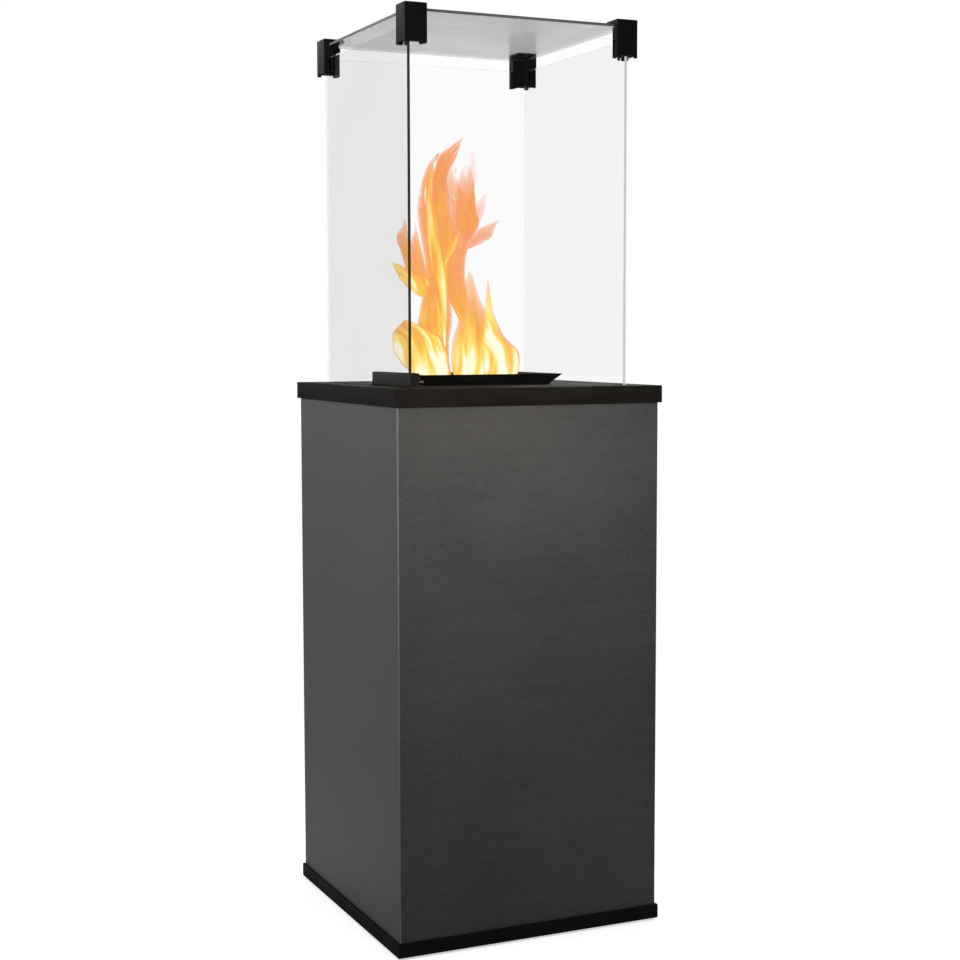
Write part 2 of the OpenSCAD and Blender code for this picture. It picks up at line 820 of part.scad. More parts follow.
// Low box over the pilot, open below, with a window towards the burner
module igniter_housing() {
    w = housing_w / 2;
    l = housing_l / 2;
    wall = burner_sheet;
    color(black) translate([housing_x, housing_y, top_z]) difference() {
        block([-w, -l, 0], [w, l, housing_h]);
        block([-w + wall, -l + wall, -1], [w - wall, l - wall, housing_h - wall]);
        block([w - wall - 1, spark_y - pilot_cut - housing_y, window_sill],
              [w + 1, thermo_y + pilot_cut - housing_y, housing_h - window_head]);
    }
}

// Plate that carries the three pilot pieces, with its outer edge under the tray's ledge
module pilot_bracket() {
    color(steel) difference() {
        block([-ledge_r - bracket_out, spark_y - bracket_out, bracket_z],
              [pilot_x + bracket_out, thermo_y + bracket_out, bracket_z + bracket_t]);
        for (p = [[pilot_y, pilot_d], [thermo_y, thermo_d], [spark_y, spark_d]])
            translate([pilot_x, p[0], bracket_z - 1]) cylinder(h = 5, d = p[1] + 2 * run);
    }
}

// Pilot: a brass tube with a hood that throws its flame sideways
module pilot_burner() {
    low = bracket_z - collar_drop;
    body = pilot_d / 2;
    hood = body + 0.9;
    color(brass) translate([pilot_x, pilot_y, 0]) difference() {
        rotate_extrude() polygon([
            [0, low], [collar_r, low], [collar_r, bracket_z], [body, bracket_z],
            [body, top_z + 4], [hood, top_z + 5], [hood, top_z + 11], [0, top_z + 12]]);
        translate([0, 0, low - 1]) cylinder(h = tube_in + 2, d = pilot_tube_d + 2 * run);
        block([0, -3, top_z + 6], [2 * hood, 3, top_z + 9]);
    }
}

// Flame sensor: a rod with a narrower tip beside the pilot's hood
module thermocouple() {
    low = bracket_z - collar_drop;
    rod = thermo_d / 2;
    tip = rod - 1;
    color(copper) translate([pilot_x, thermo_y, 0]) difference() {
        rotate_extrude() polygon([
            [0, low], [collar_r, low], [collar_r, bracket_z], [rod, bracket_z],
            [rod, top_z + 2], [tip, top_z + 3], [tip, top_z + 9], [tip / 2, top_z + 11],
            [0, top_z + 11]]);
        translate([0, 0, low - 1]) cylinder(h = tube_in + 2, d = lead_d + 2 * run);
    }
}

// Spark plug: a glazed ceramic sleeve with a wire tip
module spark_electrode() {
    low = bracket_z - collar_drop;
    sleeve = spark_d / 2;
    wire = 1;
    color(ceramic) translate([pilot_x, spark_y, 0]) difference() {
        rotate_extrude() polygon([
            [0, low], [collar_r, low], [collar_r, bracket_z], [sleeve, bracket_z],
            [sleeve, top_z], [sleeve - 1, top_z + 3], [wire, top_z + 3], [wire, top_z + 10],
            [0, top_z + 10]]);
        translate([0, 0, low - 1]) cylinder(h = tube_in + 2, d = lead_d + 2 * run);
    }
}

// Cast valve body with its bonnet, outlet boss and the pilot and thermocouple unions
module gas_valve() {
    w = valve_w / 2;
    rear = valve_front - valve_d;
    color(brass) difference() {
        union() {
            block([-w, rear, valve_z], [w, valve_front - bonnet_t, valve_z + valve_h]);
            rod_y(0, valve_front - bonnet_t - 1, valve_front, stem_z, bonnet_d);
            rod_y(0, rear - outlet_l, rear + 1, gas_z, outlet_d);
            for (z = [gas_z, union_z]) translate([-w - union_l, valve_y, z])
                rotate([0, 90, 0]) cylinder(h = union_l + 1, d = union_d);
        }
        rod_y(0, rear - outlet_l - 1, rear - outlet_l + tube_in + 1, gas_z,
              gas_tube_d + 2 * run);
        for (u = [[gas_z, pilot_tube_d], [union_z, lead_d]])
            translate([-w - union_l - 1, valve_y, u[0]]) rotate([0, 90, 0])
                cylinder(h = lead_in + 2, d = u[1] + 2 * run);
        rod_y(0, valve_front - stem_in - knob_travel - 2, valve_front + 1, stem_z,
              stem_d + 2 * run);
        for (s = [-1, 1])
            rod_y(s * valve_screw_x, valve_front - valve_screw_l - 1, valve_front + 1, stem_z,
                  screw_d + 2 * run);
        translate([0, valve_y, valve_z - 1])
            cylinder(h = inlet_neck_h, d = inlet_neck + 2 * run);
    }
}

// Brass union with the nipple that the cylinder's hose screws onto, under the heat shield
module inlet_fitting() {
    nip = inlet_z - inlet_l;
    color(brass) translate([0, valve_y, 0]) difference() {
        union() {
            translate([0, 0, valve_z - 1]) cylinder(h = inlet_neck_h - 1, d = inlet_neck);
            translate([0, 0, inlet_z]) hex(inlet_hex, valve_z - inlet_z);
            translate([0, 0, nip]) cylinder(h = inlet_l + 1, d = inlet_d);
        }
        translate([0, 0, nip - 1]) cylinder(h = 60, d = inlet_bore);
    }
}

// Main gas tube, from the valve's outlet to the injector
module main_gas_tube() {
    start = valve_front - valve_d - outlet_l + tube_in;
    color(copper) bent_tube([[0, start, gas_z], [0, 0, gas_z], [0, 0, injector_z + tube_in]],
                            gas_tube_d, gas_bend);
}

// Pilot tube, from the valve's side union up to the pilot
module pilot_tube() {
    start = -valve_w / 2 - union_l + lead_in;
    color(copper) bent_tube([[start, valve_y, gas_z], [pilot_x, valve_y, gas_z],
                             [pilot_x, pilot_y, gas_z], [pilot_x, pilot_y, lead_end]],
                            pilot_tube_d, side_bend);
}

// Thermocouple's lead, from the valve's magnet unit up to the sensor
module thermocouple_lead() {
    start = -valve_w / 2 - union_l + lead_in;
    color(copper) bent_tube([[start, valve_y, union_z], [pilot_x, valve_y, union_z],
                             [pilot_x, thermo_y, union_z], [pilot_x, thermo_y, lead_end]],
                            lead_d, side_bend);
}

// Spark lead, from the igniter forward, across and up to the spark plug
module spark_lead() {
    aside = pilot_x + spark_aside;
    color(red) bent_tube([[igniter_x, igniter_back + lead_in, stem_z],
                          [igniter_x, spark_front, stem_z], [igniter_x, spark_front, spark_z],
                          [aside, spark_front, spark_z], [aside, spark_y, spark_z],
                          [pilot_x, spark_y, spark_z], [pilot_x, spark_y, lead_end]],
                         lead_d, 2 * lead_d);
}

// Rear wall of the burner space, folded at top and bottom, with the controls' holes
module control_panel() {
    half = body_r - jamb_w - 4;
    low = shield_z + sheet;
    high = ledge_z - frame_sheet - seat;
    color(black) difference() {
        union() {
            block([-half, panel_y - panel_t, low], [half, panel_y, high]);
            block([-half, panel_y - panel_fold, low], [half, panel_y, low + panel_t]);
            block([-half, panel_y - panel_fold, high - panel_t], [half, panel_y, high]);
        }
        rod_y(0, panel_y - 20, panel_y + 1, stem_z, stem_hole);
        rod_y(igniter_x, panel_y - 20, panel_y + 1, stem_z, button_d + 4);
        for (s = [-1, 1])
            rod_y(s * valve_screw_x, panel_y - 20, panel_y + 1, stem_z, screw_d + 2 * run);
        block([-valve_w / 2 - 2, panel_y - panel_fold - 1, low - 1],
              [valve_w / 2 + 2, panel_y - panel_t, low + panel_t + 1]);
    }
}

// Screws through the panel into the valve's bonnet, under the knob
module valve_screws() {
    shank = screw_d / 2;
    color(steel) for (s = [-1, 1]) translate([s * valve_screw_x, panel_y, stem_z])
        rotate([-90, 0, 0]) rotate_extrude() polygon([
            [0, -panel_t - valve_screw_l], [shank, -panel_t - valve_screw_l], [shank, 0],
            [1.75 * shank, 0], [1.5 * shank, valve_screw_head], [0, valve_screw_head]]);
}

// Flat ring behind the knob, printed with plain dots
module dial_ring() {
    color(steel) difference() {
        rod_y(0, panel_y, panel_y + dial_t, stem_z, dial_d);
        rod_y(0, panel_y - 1, panel_y + dial_t + 1, stem_z, dial_hole);
    }
}

// Stem that the knob turns on: it slides into the valve when it is pressed
module valve_stem() {
    color(steel) {
        rod_y(0, valve_front - stem_in, knob_y + knob_h - knob_roof, stem_z, stem_d);
        rod_y(0, knob_y - seat - collar_t, knob_y - seat, stem_z, stem_d + collar_w);
    }
}

// Knob: a skirt, a fluted grip and a pointer bar, bored for the stem
module control_knob() {
    grip_d = knob_d - 8;
    color(dark) translate([0, knob_y, stem_z]) rotate([-90, 0, 0]) difference() {
        union() {
            rotate_extrude() polygon([
                [0, 0], [knob_d / 2, 0], [knob_d / 2, 3], [grip_d / 2, 6],
                [grip_d / 2, knob_h - 2], [grip_d / 2 - 2, knob_h], [0, knob_h]]);
            block([-2.5, -grip_d / 2 - 1.5, 4], [2.5, 4, knob_h]);
        }
        for (a = [0 : 30 : 330]) if (a != 270) rotate(a)
            translate([grip_d / 2 + 2, 0, 7]) cylinder(h = knob_h, d = 7, $fn = 24);
        translate([0, 0, -1])
            cylinder(h = knob_h - knob_roof + 1 + run, d = stem_d + 2 * run);
    }
}

// Spark generator behind the panel, with a socket for the button's shaft
module igniter_body() {
    color(dark) difference() {
        union() {
            rod_y(igniter_x, igniter_back, panel_y - panel_t, stem_z, igniter_d);
            rod_y(igniter_x, panel_y - panel_t - 6, panel_y - panel_t, stem_z, igniter_d + 6);
        }
        rod_y(igniter_x, panel_y - button_in - button_travel - 4, panel_y + 1, stem_z,
              button_d + 2 * run);
        rod_y(igniter_x, igniter_back - 1, igniter_back + lead_in + 1, stem_z,
              lead_d + 2 * run);
    }
}

// Ring that clamps the igniter to the panel
module igniter_bezel() {
    color(steel) translate([igniter_x, panel_y, stem_z]) rotate([-90, 0, 0])
        rotate_extrude() polygon([
            [button_d / 2 + 0.5, 0], [bezel_d / 2, 0], [bezel_d / 2, bezel_t - 1],
            [bezel_d / 2 - 1, bezel_t], [button_d / 2 + 0.5, bezel_t]]);
}

// Push button of the igniter, with a dished face
module igniter_button() {
    tip = bezel_t + button_out;
    color(red) translate([igniter_x, panel_y, stem_z]) rotate([-90, 0, 0])
        rotate_extrude() polygon([
            [0, -button_in], [button_d / 2, -button_in], [button_d / 2, tip - 1],
            [button_d / 2 - 1, tip], [button_d / 4, tip - 0.8], [0, tip - 1]]);
}

// One pressed louvre on the door's outer face: a quarter-round hood with closed ends
module louvre_hood() {
    rotate([0, 90, 0]) intersection() {
        cylinder(h = louvre_w, r = louvre_out, center = true);
        block([-louvre_out, 0, -louvre_w], [0, louvre_out, louvre_w]);
    }
}

// The slot and the hollow under a hood
module louvre_cut() {
    r = louvre_out - louvre_skin;
    w = louvre_w - 2 * louvre_skin;
    rotate([0, 90, 0]) intersection() {
        cylinder(h = w, r = r, center = true);
        block([-r, -0.1, -w], [1, r, w]);
    }
    block([-w / 2, -sheet - 0.1, -1], [w / 2, 0, r]);
}

// Lays out a louvre at each place of the two banks, low and high on the door
module louvre_banks() {
    for (base = [door_z + bank_in, door_top - bank_in - bank_h], s = [-1, 1],
         i = [0 : louvre_rows - 1])
        translate([bank_x + s * louvre_x, door_y, base + i * louvre_pitch]) children();
}

// Door: a pan with folded edges, pressed louvres, a finger slot and two pivot blocks
module rear_door() {
    color(graphite) difference() {
        union() {
            difference() {
                block([-door_r, door_y - door_t, door_z], [door_r, door_y, door_top]);
                block([-door_r + sheet, door_y - door_t - 1, door_z + sheet],
                      [door_r - sheet, door_y - sheet, door_top - sheet]);
            }
            louvre_banks() louvre_hood();
            for (z = [door_z + sheet, door_top - sheet - block_h])
                block([-door_r + sheet, door_y - door_t + 1, z],
                      [-door_r + block_w, door_y - sheet, z + block_h]);
            translate([finger_x, door_y - sheet, finger_z]) rotate([90, 90, 0])
                linear_extrude(finger_deep) oblong(finger_l + 2 * sheet, finger_w + 2 * sheet);
        }
        louvre_banks() louvre_cut();
        translate([finger_x, door_y + 1, finger_z]) rotate([90, 90, 0])
            linear_extrude(20) oblong(finger_l, finger_w);
        translate([pivot_x, pivot_y, door_z - 1])
            cylinder(h = pin_in + 1 + seat, d = pivot_d + 2 * run);
        translate([pivot_x, pivot_y, door_top - pin_in - seat])
            cylinder(h = pin_in + 5, d = pivot_d + 2 * run);
    }
}

// Steel plates inside the door that the magnets pull on
module strike_plates() {
    tall = magnet_h + strike_more;
    color(steel) for (z = [door_z + sheet, door_top - sheet - tall])
        block([magnet_x - magnet_w / 2, door_y - sheet - strike_t, z],
              [magnet_x + magnet_w / 2, door_y - sheet, z + tall]);
}

// Magnets on arms against the sill's and the header's webs, reaching into the door to the
// strike plates
module door_magnets() {
    face = door_y - sheet - strike_t - seat;
    arm = body_r - rail_d;
    x0 = magnet_x - magnet_w / 2 + 3;
    x1 = magnet_x + magnet_w / 2 - 3;
    low = door_z + sheet + 1;
    high = door_top - sheet - 1;
    color(dark) {
        block([x0, arm - magnet_d, sill_top - rail_web], [x1, arm, low + magnet_h]);
        block([x0, arm, low], [x1, face, low + magnet_h]);
        block([x0, arm - magnet_d, high - magnet_h], [x1, arm, header_z + rail_web]);
        block([x0, arm, high - magnet_h], [x1, face, high]);
    }
}

// Pins in the sill and the header that the door turns on
module pivot_pins() {
    color(steel) for (z = [[sill_top - rail_web, door_z + pin_in],
                           [door_top - pin_in, header_z + rail_web]])
        translate([pivot_x, pivot_y, z[0]]) cylinder(h = z[1] - z[0], d = pivot_d);
}

// Plain washer that carries the door on the sill
module pivot_washers() {
    color(steel) translate([pivot_x, pivot_y, sill_top]) difference() {
        cylinder(h = door_gap - seat, d = pivot_d + 6);
        translate([0, 0, -1]) cylinder(h = door_gap + 2, d = pivot_d + 2 * run);
    }
}

base_plinth();
feet();
foot_screws();
floor_plate();
cabinet_wrap();
corner_posts();
rear_sill();
rear_header();
top_tray();
hearth_plate();
heat_shield();
glass_gasket();
front_glass();
rear_glass();
left_glass();
right_glass();
top_glass();
clip_front_left();
clip_front_right();
clip_rear_left();
clip_rear_right();
clip_pads();
clip_screws();
burner_dish();
burner_box();
burner_plate();
burner_screws();
venturi_tube();
injector_bracket();
injector();
igniter_housing();
pilot_bracket();
pilot_burner();
thermocouple();
spark_electrode();
gas_valve();
inlet_fitting();
main_gas_tube();
pilot_tube();
thermocouple_lead();
spark_lead();
control_panel();
valve_screws();
dial_ring();
valve_stem();
control_knob();
igniter_body();
igniter_bezel();
igniter_button();
rear_door();
strike_plates();
door_magnets();
pivot_pins();
pivot_washers();
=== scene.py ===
# %% [markdown]
# # A gas patio heater
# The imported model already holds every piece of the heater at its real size. This lesson
# dresses it: steel with a level grain, black powder coat, glass with ground edges, and the
# fire. The frame is loaded first, because the pieces take their places from it.

# %% Load the frame
import math

import bmesh
import bpy
import numpy as np
from mathutils import Matrix, Vector


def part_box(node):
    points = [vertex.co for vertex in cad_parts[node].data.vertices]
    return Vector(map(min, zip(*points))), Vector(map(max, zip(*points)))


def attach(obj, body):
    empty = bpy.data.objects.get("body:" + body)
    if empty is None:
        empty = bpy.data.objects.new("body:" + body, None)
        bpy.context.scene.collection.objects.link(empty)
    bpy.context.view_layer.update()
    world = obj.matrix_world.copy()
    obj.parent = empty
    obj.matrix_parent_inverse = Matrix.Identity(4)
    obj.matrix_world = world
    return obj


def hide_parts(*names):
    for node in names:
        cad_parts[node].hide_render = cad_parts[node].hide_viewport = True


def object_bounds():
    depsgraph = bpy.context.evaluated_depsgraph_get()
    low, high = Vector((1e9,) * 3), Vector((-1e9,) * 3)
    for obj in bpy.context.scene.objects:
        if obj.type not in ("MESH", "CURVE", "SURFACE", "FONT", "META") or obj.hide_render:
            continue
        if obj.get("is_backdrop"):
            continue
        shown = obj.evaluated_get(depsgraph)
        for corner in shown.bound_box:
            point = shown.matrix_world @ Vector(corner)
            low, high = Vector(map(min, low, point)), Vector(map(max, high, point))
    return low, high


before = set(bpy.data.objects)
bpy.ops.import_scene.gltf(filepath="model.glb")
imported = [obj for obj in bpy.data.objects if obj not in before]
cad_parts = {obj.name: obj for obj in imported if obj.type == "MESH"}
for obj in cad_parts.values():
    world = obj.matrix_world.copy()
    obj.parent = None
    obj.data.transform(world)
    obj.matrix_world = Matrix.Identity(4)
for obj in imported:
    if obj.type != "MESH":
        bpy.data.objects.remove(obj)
cad_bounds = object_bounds()
scene = bpy.context.scene

# %% [markdown]
# ## The camera
# The photograph was taken from the front and a little to the left, at about the height of
# the tray. Straight edges of the heater, measured in the picture, fix the lens, the place
# and the turn. The rotation is built from three directions rather than from angles typed
# into the object, so that each value below keeps its plain meaning.

# %% Camera
PICTURE = 960
FOCAL_PX = 1729.21
SENSOR_MM = 36.0
FAR_CLIP = 100.0
CAMERA_AT = np.array([-1.0761, -2.3917, 0.8711])
TURN_DEG, DOWN_DEG, ROLL_DEG = 24.469, 4.812, -0.105


def camera_axes(turn, down, roll):
    """Right, up and back of a camera that looks along +Y, turned towards +X, tilted down and
    rolled about its own line of sight."""
    turn, down, roll = np.radians([turn, down, roll])
    ahead = np.array([np.sin(turn) * np.cos(down), np.cos(turn) * np.cos(down), -np.sin(down)])
    level = np.array([np.cos(turn), -np.sin(turn), 0.0])
    over = np.cross(level, ahead)
    right = np.cos(roll) * level + np.sin(roll) * over
    up = np.cos(roll) * over - np.sin(roll) * level
    return right, up, -ahead


lens = bpy.data.cameras.new("camera")
lens.sensor_width = SENSOR_MM
lens.lens = FOCAL_PX * SENSOR_MM / PICTURE
lens.clip_end = FAR_CLIP
camera = bpy.data.objects.new("camera", lens)
scene.collection.objects.link(camera)
placed = Matrix.Identity(4)
for column, axis in enumerate(camera_axes(TURN_DEG, DOWN_DEG, ROLL_DEG)):
    placed.col[column][:3] = axis
placed.col[3][:3] = CAMERA_AT
camera.matrix_world = placed
scene.camera = camera
scene.view_settings.view_transform = "Standard"
print("lens", round(lens.lens, 2), "mm")

# %% [markdown]
# ## Small helpers
# A shader is a graph. `put` adds one node and fills or links its inputs in one go, which
# keeps a material short enough to read. `surface` turns a grid of points into a mesh: the
# grid is a function of two parameters, worked out as whole arrays.


# %% Helpers for shaders
NOISE_LOW, NOISE_HIGH = 0.3, 0.7


def put(tree, kind, inputs=None, **settings):
    """Adds a shader node, sets its properties, and fills or links the inputs by name."""
    made = tree.nodes.new(kind)
    for name, value in settings.items():
        setattr(made, name, value)
    for key, value in (inputs or {}).items():
        if isinstance(value, bpy.types.NodeSocket):
            tree.links.new(value, made.inputs[key])
        else:
            made.inputs[key].default_value = value
    return made


def group(name, inputs, outputs):
    """An empty shader node group, with its input node's and output node's sockets ready."""
    tree = bpy.data.node_groups.new(name, "ShaderNodeTree")
    for label, kind, default in inputs:
        made = tree.interface.new_socket(label, in_out="INPUT", socket_type=kind)
        if default is not None:
            made.default_value = default
    for label, kind in outputs:
        tree.interface.new_socket(label, in_out="OUTPUT", socket_type=kind)
    return tree, tree.nodes.new("NodeGroupInput").outputs, tree.nodes.new("NodeGroupOutput").inputs


def math_node(tree, what, a, b=0.0, clamp=False):
    """The result of one Math node."""
    return put(tree, "ShaderNodeMath", {0: a, 1: b}, operation=what, use_clamp=clamp).outputs[0]


def between(tree, value, low, high, start=0.0, end=1.0):
    """value carried from the range low to high onto start to end, smoothly and clamped."""
    return put(tree, "ShaderNodeMapRange",
               {"Value": value, "From Min": low, "From Max": high, "To Min": start, "To Max": end},
               interpolation_type="SMOOTHSTEP").outputs["Result"]


def noise(tree, vector, scale, detail=2.0, rough=0.5):
    """The grey value of a Noise texture."""
    return put(tree, "ShaderNodeTexNoise",
               {"Vector": vector, "Scale": scale, "Detail": detail, "Roughness": rough}
               ).outputs["Fac"]


def spread(tree, value, start=0.0, end=1.0):
    """A noise carried onto start to end. Most of a noise lies between two middle values."""
    return between(tree, value, NOISE_LOW, NOISE_HIGH, start, end)


def blend(tree, factor, a, b):
    """A colour between a and b."""
    mixed = put(tree, "ShaderNodeMix", data_type="RGBA")
    for key, value in ((0, factor), (6, a), (7, b)):
        if isinstance(value, bpy.types.NodeSocket):
            tree.links.new(value, mixed.inputs[key])
        else:
            mixed.inputs[key].default_value = value
    return mixed.outputs[2]


def grey(level, warm=0.0):
    """A colour from a linear level, a little warmer or cooler."""
    return (level * (1 + warm), level, level * (1 - warm), 1.0)


# %% Helpers for meshes
SAME_POINT = 1e-6


def faces_of(points, close):
    """The faces of a grid of points, each a list of four point numbers."""
    rows, columns = points.shape[:2]
    index = np.arange(rows * columns).reshape(rows, columns)
    if close:
        index = np.concatenate([index, index[:, :1]], axis=1)
    return np.stack([index[:-1, :-1], index[:-1, 1:], index[1:, 1:], index[1:, :-1]],
                    axis=-1).reshape(-1, 4)


def mesh_of(name, points, faces, smooth=True):
    """A mesh from a list of points and a list of faces."""
    mesh = bpy.data.meshes.new(name)
    mesh.from_pydata(points.tolist(), [], faces.tolist())
    mesh.polygons.foreach_set("use_smooth", np.full(len(mesh.polygons), smooth))
    return mesh


def surface(name, points, closed=False, smooth=True):
    """A mesh from a grid of points with shape (rows, columns, 3). Faces join each point to the
    next in its row and column, and closed joins the last column to the first."""
    return mesh_of(name, points.reshape(-1, 3), faces_of(points, closed), smooth)


def cleaned(mesh):
    """Merges doubled points, drops faces without area and turns all the faces outwards."""
    work = bmesh.new()
    work.from_mesh(mesh)
    bmesh.ops.remove_doubles(work, verts=work.verts, dist=SAME_POINT)
    bmesh.ops.dissolve_degenerate(work, edges=work.edges, dist=SAME_POINT)
    bmesh.ops.recalc_face_normals(work, faces=work.faces)
    work.to_mesh(mesh)
    work.free()
    return mesh


def piece(name, mesh, materials, body):
    """An object for the mesh, with its materials, that rides on a body."""
    made = bpy.data.objects.new(name, mesh)
    scene.collection.objects.link(made)
    for material in materials:
        made.data.materials.append(material)
    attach(made, body)
    return made


# %% [markdown]
# ## Floor and light
# The heater stands on a plain pale floor, in front of nothing. The world is white for the
# camera and, behind the heater, for what glass and metal mirror. The studio on the
# photographer's side is dim, so the front stays dark while the left side, which mirrors the
# white background at a slant, is paler. One soft box hangs before the top of the front panel,
# which gets darker downwards, and others stand at the left and at the back.

# %% Floor
FLOOR_SIZE = 60.0
# The floor lies a little under the soles of the feet, so that no two faces share one place.
FLOOR_DROP = 0.0004
FLOOR_TONE, FLOOR_ROUGHNESS, FLOOR_SHINE = 0.86, 0.9, 0.1
# How strongly the floor glows for the camera, near the heater and far from it.
NEAR_GLOW, FAR_GLOW = 0.58, 1.0
NEAR_M, FAR_M = 0.25, 1.1


def floor_material():
    """Pale and dull. For the camera alone it glows, a little near the heater, where it keeps
    the shadow, and more with distance, until it is as white as the background."""
    made = bpy.data.materials.new("pale_floor")
    made.use_nodes = True
    tree = made.node_tree
    shader = tree.nodes["Principled BSDF"]
    shader.inputs["Roughness"].default_value = FLOOR_ROUGHNESS
    shader.inputs["Specular IOR Level"].default_value = FLOOR_SHINE
    shader.inputs["Emission Color"].default_value = grey(1.0)
    path = put(tree, "ShaderNodeLightPath")
    seen = math_node(tree, "MAXIMUM", path.outputs["Is Camera Ray"],
                     path.outputs["Is Transmission Ray"])
    place = put(tree, "ShaderNodeTexCoord").outputs["Object"]
    away = put(tree, "ShaderNodeVectorMath", {0: place}, operation="LENGTH").outputs["Value"]
    far = between(tree, away, NEAR_M, FAR_M)
    glow = put(tree, "ShaderNodeMix", {0: far, 2: NEAR_GLOW, 3: FAR_GLOW}).outputs[0]
    tree.links.new(math_node(tree, "MULTIPLY", seen, glow), shader.inputs["Emission Strength"])
    hidden = math_node(tree, "MULTIPLY", seen, far)
    tree.links.new(blend(tree, hidden, grey(FLOOR_TONE), grey(0.0)), shader.inputs["Base Color"])
    return made


side = FLOOR_SIZE / 2 * np.array([-1.0, 1.0])
corners = np.stack([*np.meshgrid(side, side), np.full((2, 2), -FLOOR_DROP)], axis=-1)
floor = bpy.data.objects.new("floor", surface("floor", corners))
floor.data.materials.append(floor_material())
scene.collection.objects.link(floor)
floor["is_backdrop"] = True
print("floor", FLOOR_SIZE, "m wide")

# %% Lamps
LAMPS = {
    "front_box": dict(at=(-0.08, -0.90, 1.00), to=(-0.08, -0.2, 0.80), size=0.4, watts=2.95,
                      beam_deg=95, colour=(1.0, 0.92, 0.84), mirrored=False),
    "left_box": dict(at=(-1.3, -0.3, 1.32), to=(-0.2, 0.0, 1.02), size=0.8, watts=6.3,
                     beam_deg=90, colour=(1.0, 0.95, 0.90), mirrored=True),
    "back_box": dict(at=(1.2, 2.0, 1.6), to=(0.0, 0.2, 0.6), size=1.4, watts=22.0,
                     beam_deg=160, colour=(1.0, 1.0, 1.0), mirrored=True),
}


def lamp(name, at, to, size, watts, beam_deg, colour, mirrored):
    """A square soft box at one place, facing another, and hidden from the camera. mirrored
    tells whether paint and metal show its reflection."""
    light = bpy.data.lights.new(name, "AREA")
    light.size = size
    light.energy = watts
    light.spread = math.radians(beam_deg)
    light.color = colour
    made = bpy.data.objects.new(name, light)
    made.location = at
    made.rotation_euler = (Vector(at) - Vector(to)).to_track_quat("Z", "Y").to_euler()
    made.visible_camera = False
    made.visible_transmission = False
    made.visible_glossy = mirrored
    scene.collection.objects.link(made)


for name, facts in LAMPS.items():
    lamp(name, **facts)
print("lamps:", ", ".join(LAMPS))

# %% World
# The world's light on the heater, and how white its mirror image is in front of the heater.
# That image is dim up to one value of the mirrored way's Y, and white from another on.
WORLD_LIGHT, DIM_FRONT = 0.40, 0.06
DIM_UP_TO, WHITE_FROM = -0.25, 0.45
world = bpy.data.worlds.new("studio")
scene.world = world
world.use_nodes = True
sky = world.node_tree
path = put(sky, "ShaderNodeLightPath").outputs
way = put(sky, "ShaderNodeTexCoord").outputs["Generated"]
behind = between(sky, put(sky, "ShaderNodeSeparateXYZ", {0: way}).outputs["Y"],
                 DIM_UP_TO, WHITE_FROM, DIM_FRONT, 1.0)
direct = math_node(sky, "MAXIMUM", path["Is Camera Ray"], path["Is Transmission Ray"])
in_mirror = math_node(sky, "GREATER_THAN", path["Glossy Depth"], 0.5)
shown = put(sky, "ShaderNodeMix", {0: direct, 2: WORLD_LIGHT, 3: 1.0}).outputs[0]
strength = put(sky, "ShaderNodeMix", {0: in_mirror, 2: shown, 3: behind}).outputs[0]
background = sky.nodes["Background"]
background.inputs["Color"].default_value = grey(1.0)
sky.links.new(strength, background.inputs["Strength"])
print("world light:", WORLD_LIGHT)

# %% [markdown]
# ## Shared surface effects
# Rolled and painted steel has two kinds of fine structure. A level grain comes from the
# sheet: the pattern is stretched along the sheet and squeezed across it, which is done by
# scaling the object's own coordinates before the noise reads them. A powder coat has a
# pebbled skin, which is noise of one size in all directions. Each effect is a node group,
# so that several finishes can use it with their own values.


# %% Grain group
# Sizes of the noises, in features per metre, but wide lines as a share of the fine ones.
WIDE_LINES, CLOUDS, PATCHES, MOTTLE, SPECKS = 0.13, 5.0, 9.0, 130.0, 210.0
SPECK_RANGE, PATCH_RANGE = (0.62, 0.72), (0.40, 0.62)
# What each noise adds to the tone.
CLOUD_SHARE, FINE_SHARE, WIDE_SHARE, MOTTLE_SHARE = 0.34, 0.26, 0.14, 0.26
# Flecks are full from this far out, near the folds, and few towards the middle of a sheet.
FLECK_FOLD, FLECK_MIDDLE, FLECK_LEAST = 0.20, 0.06, 0.15


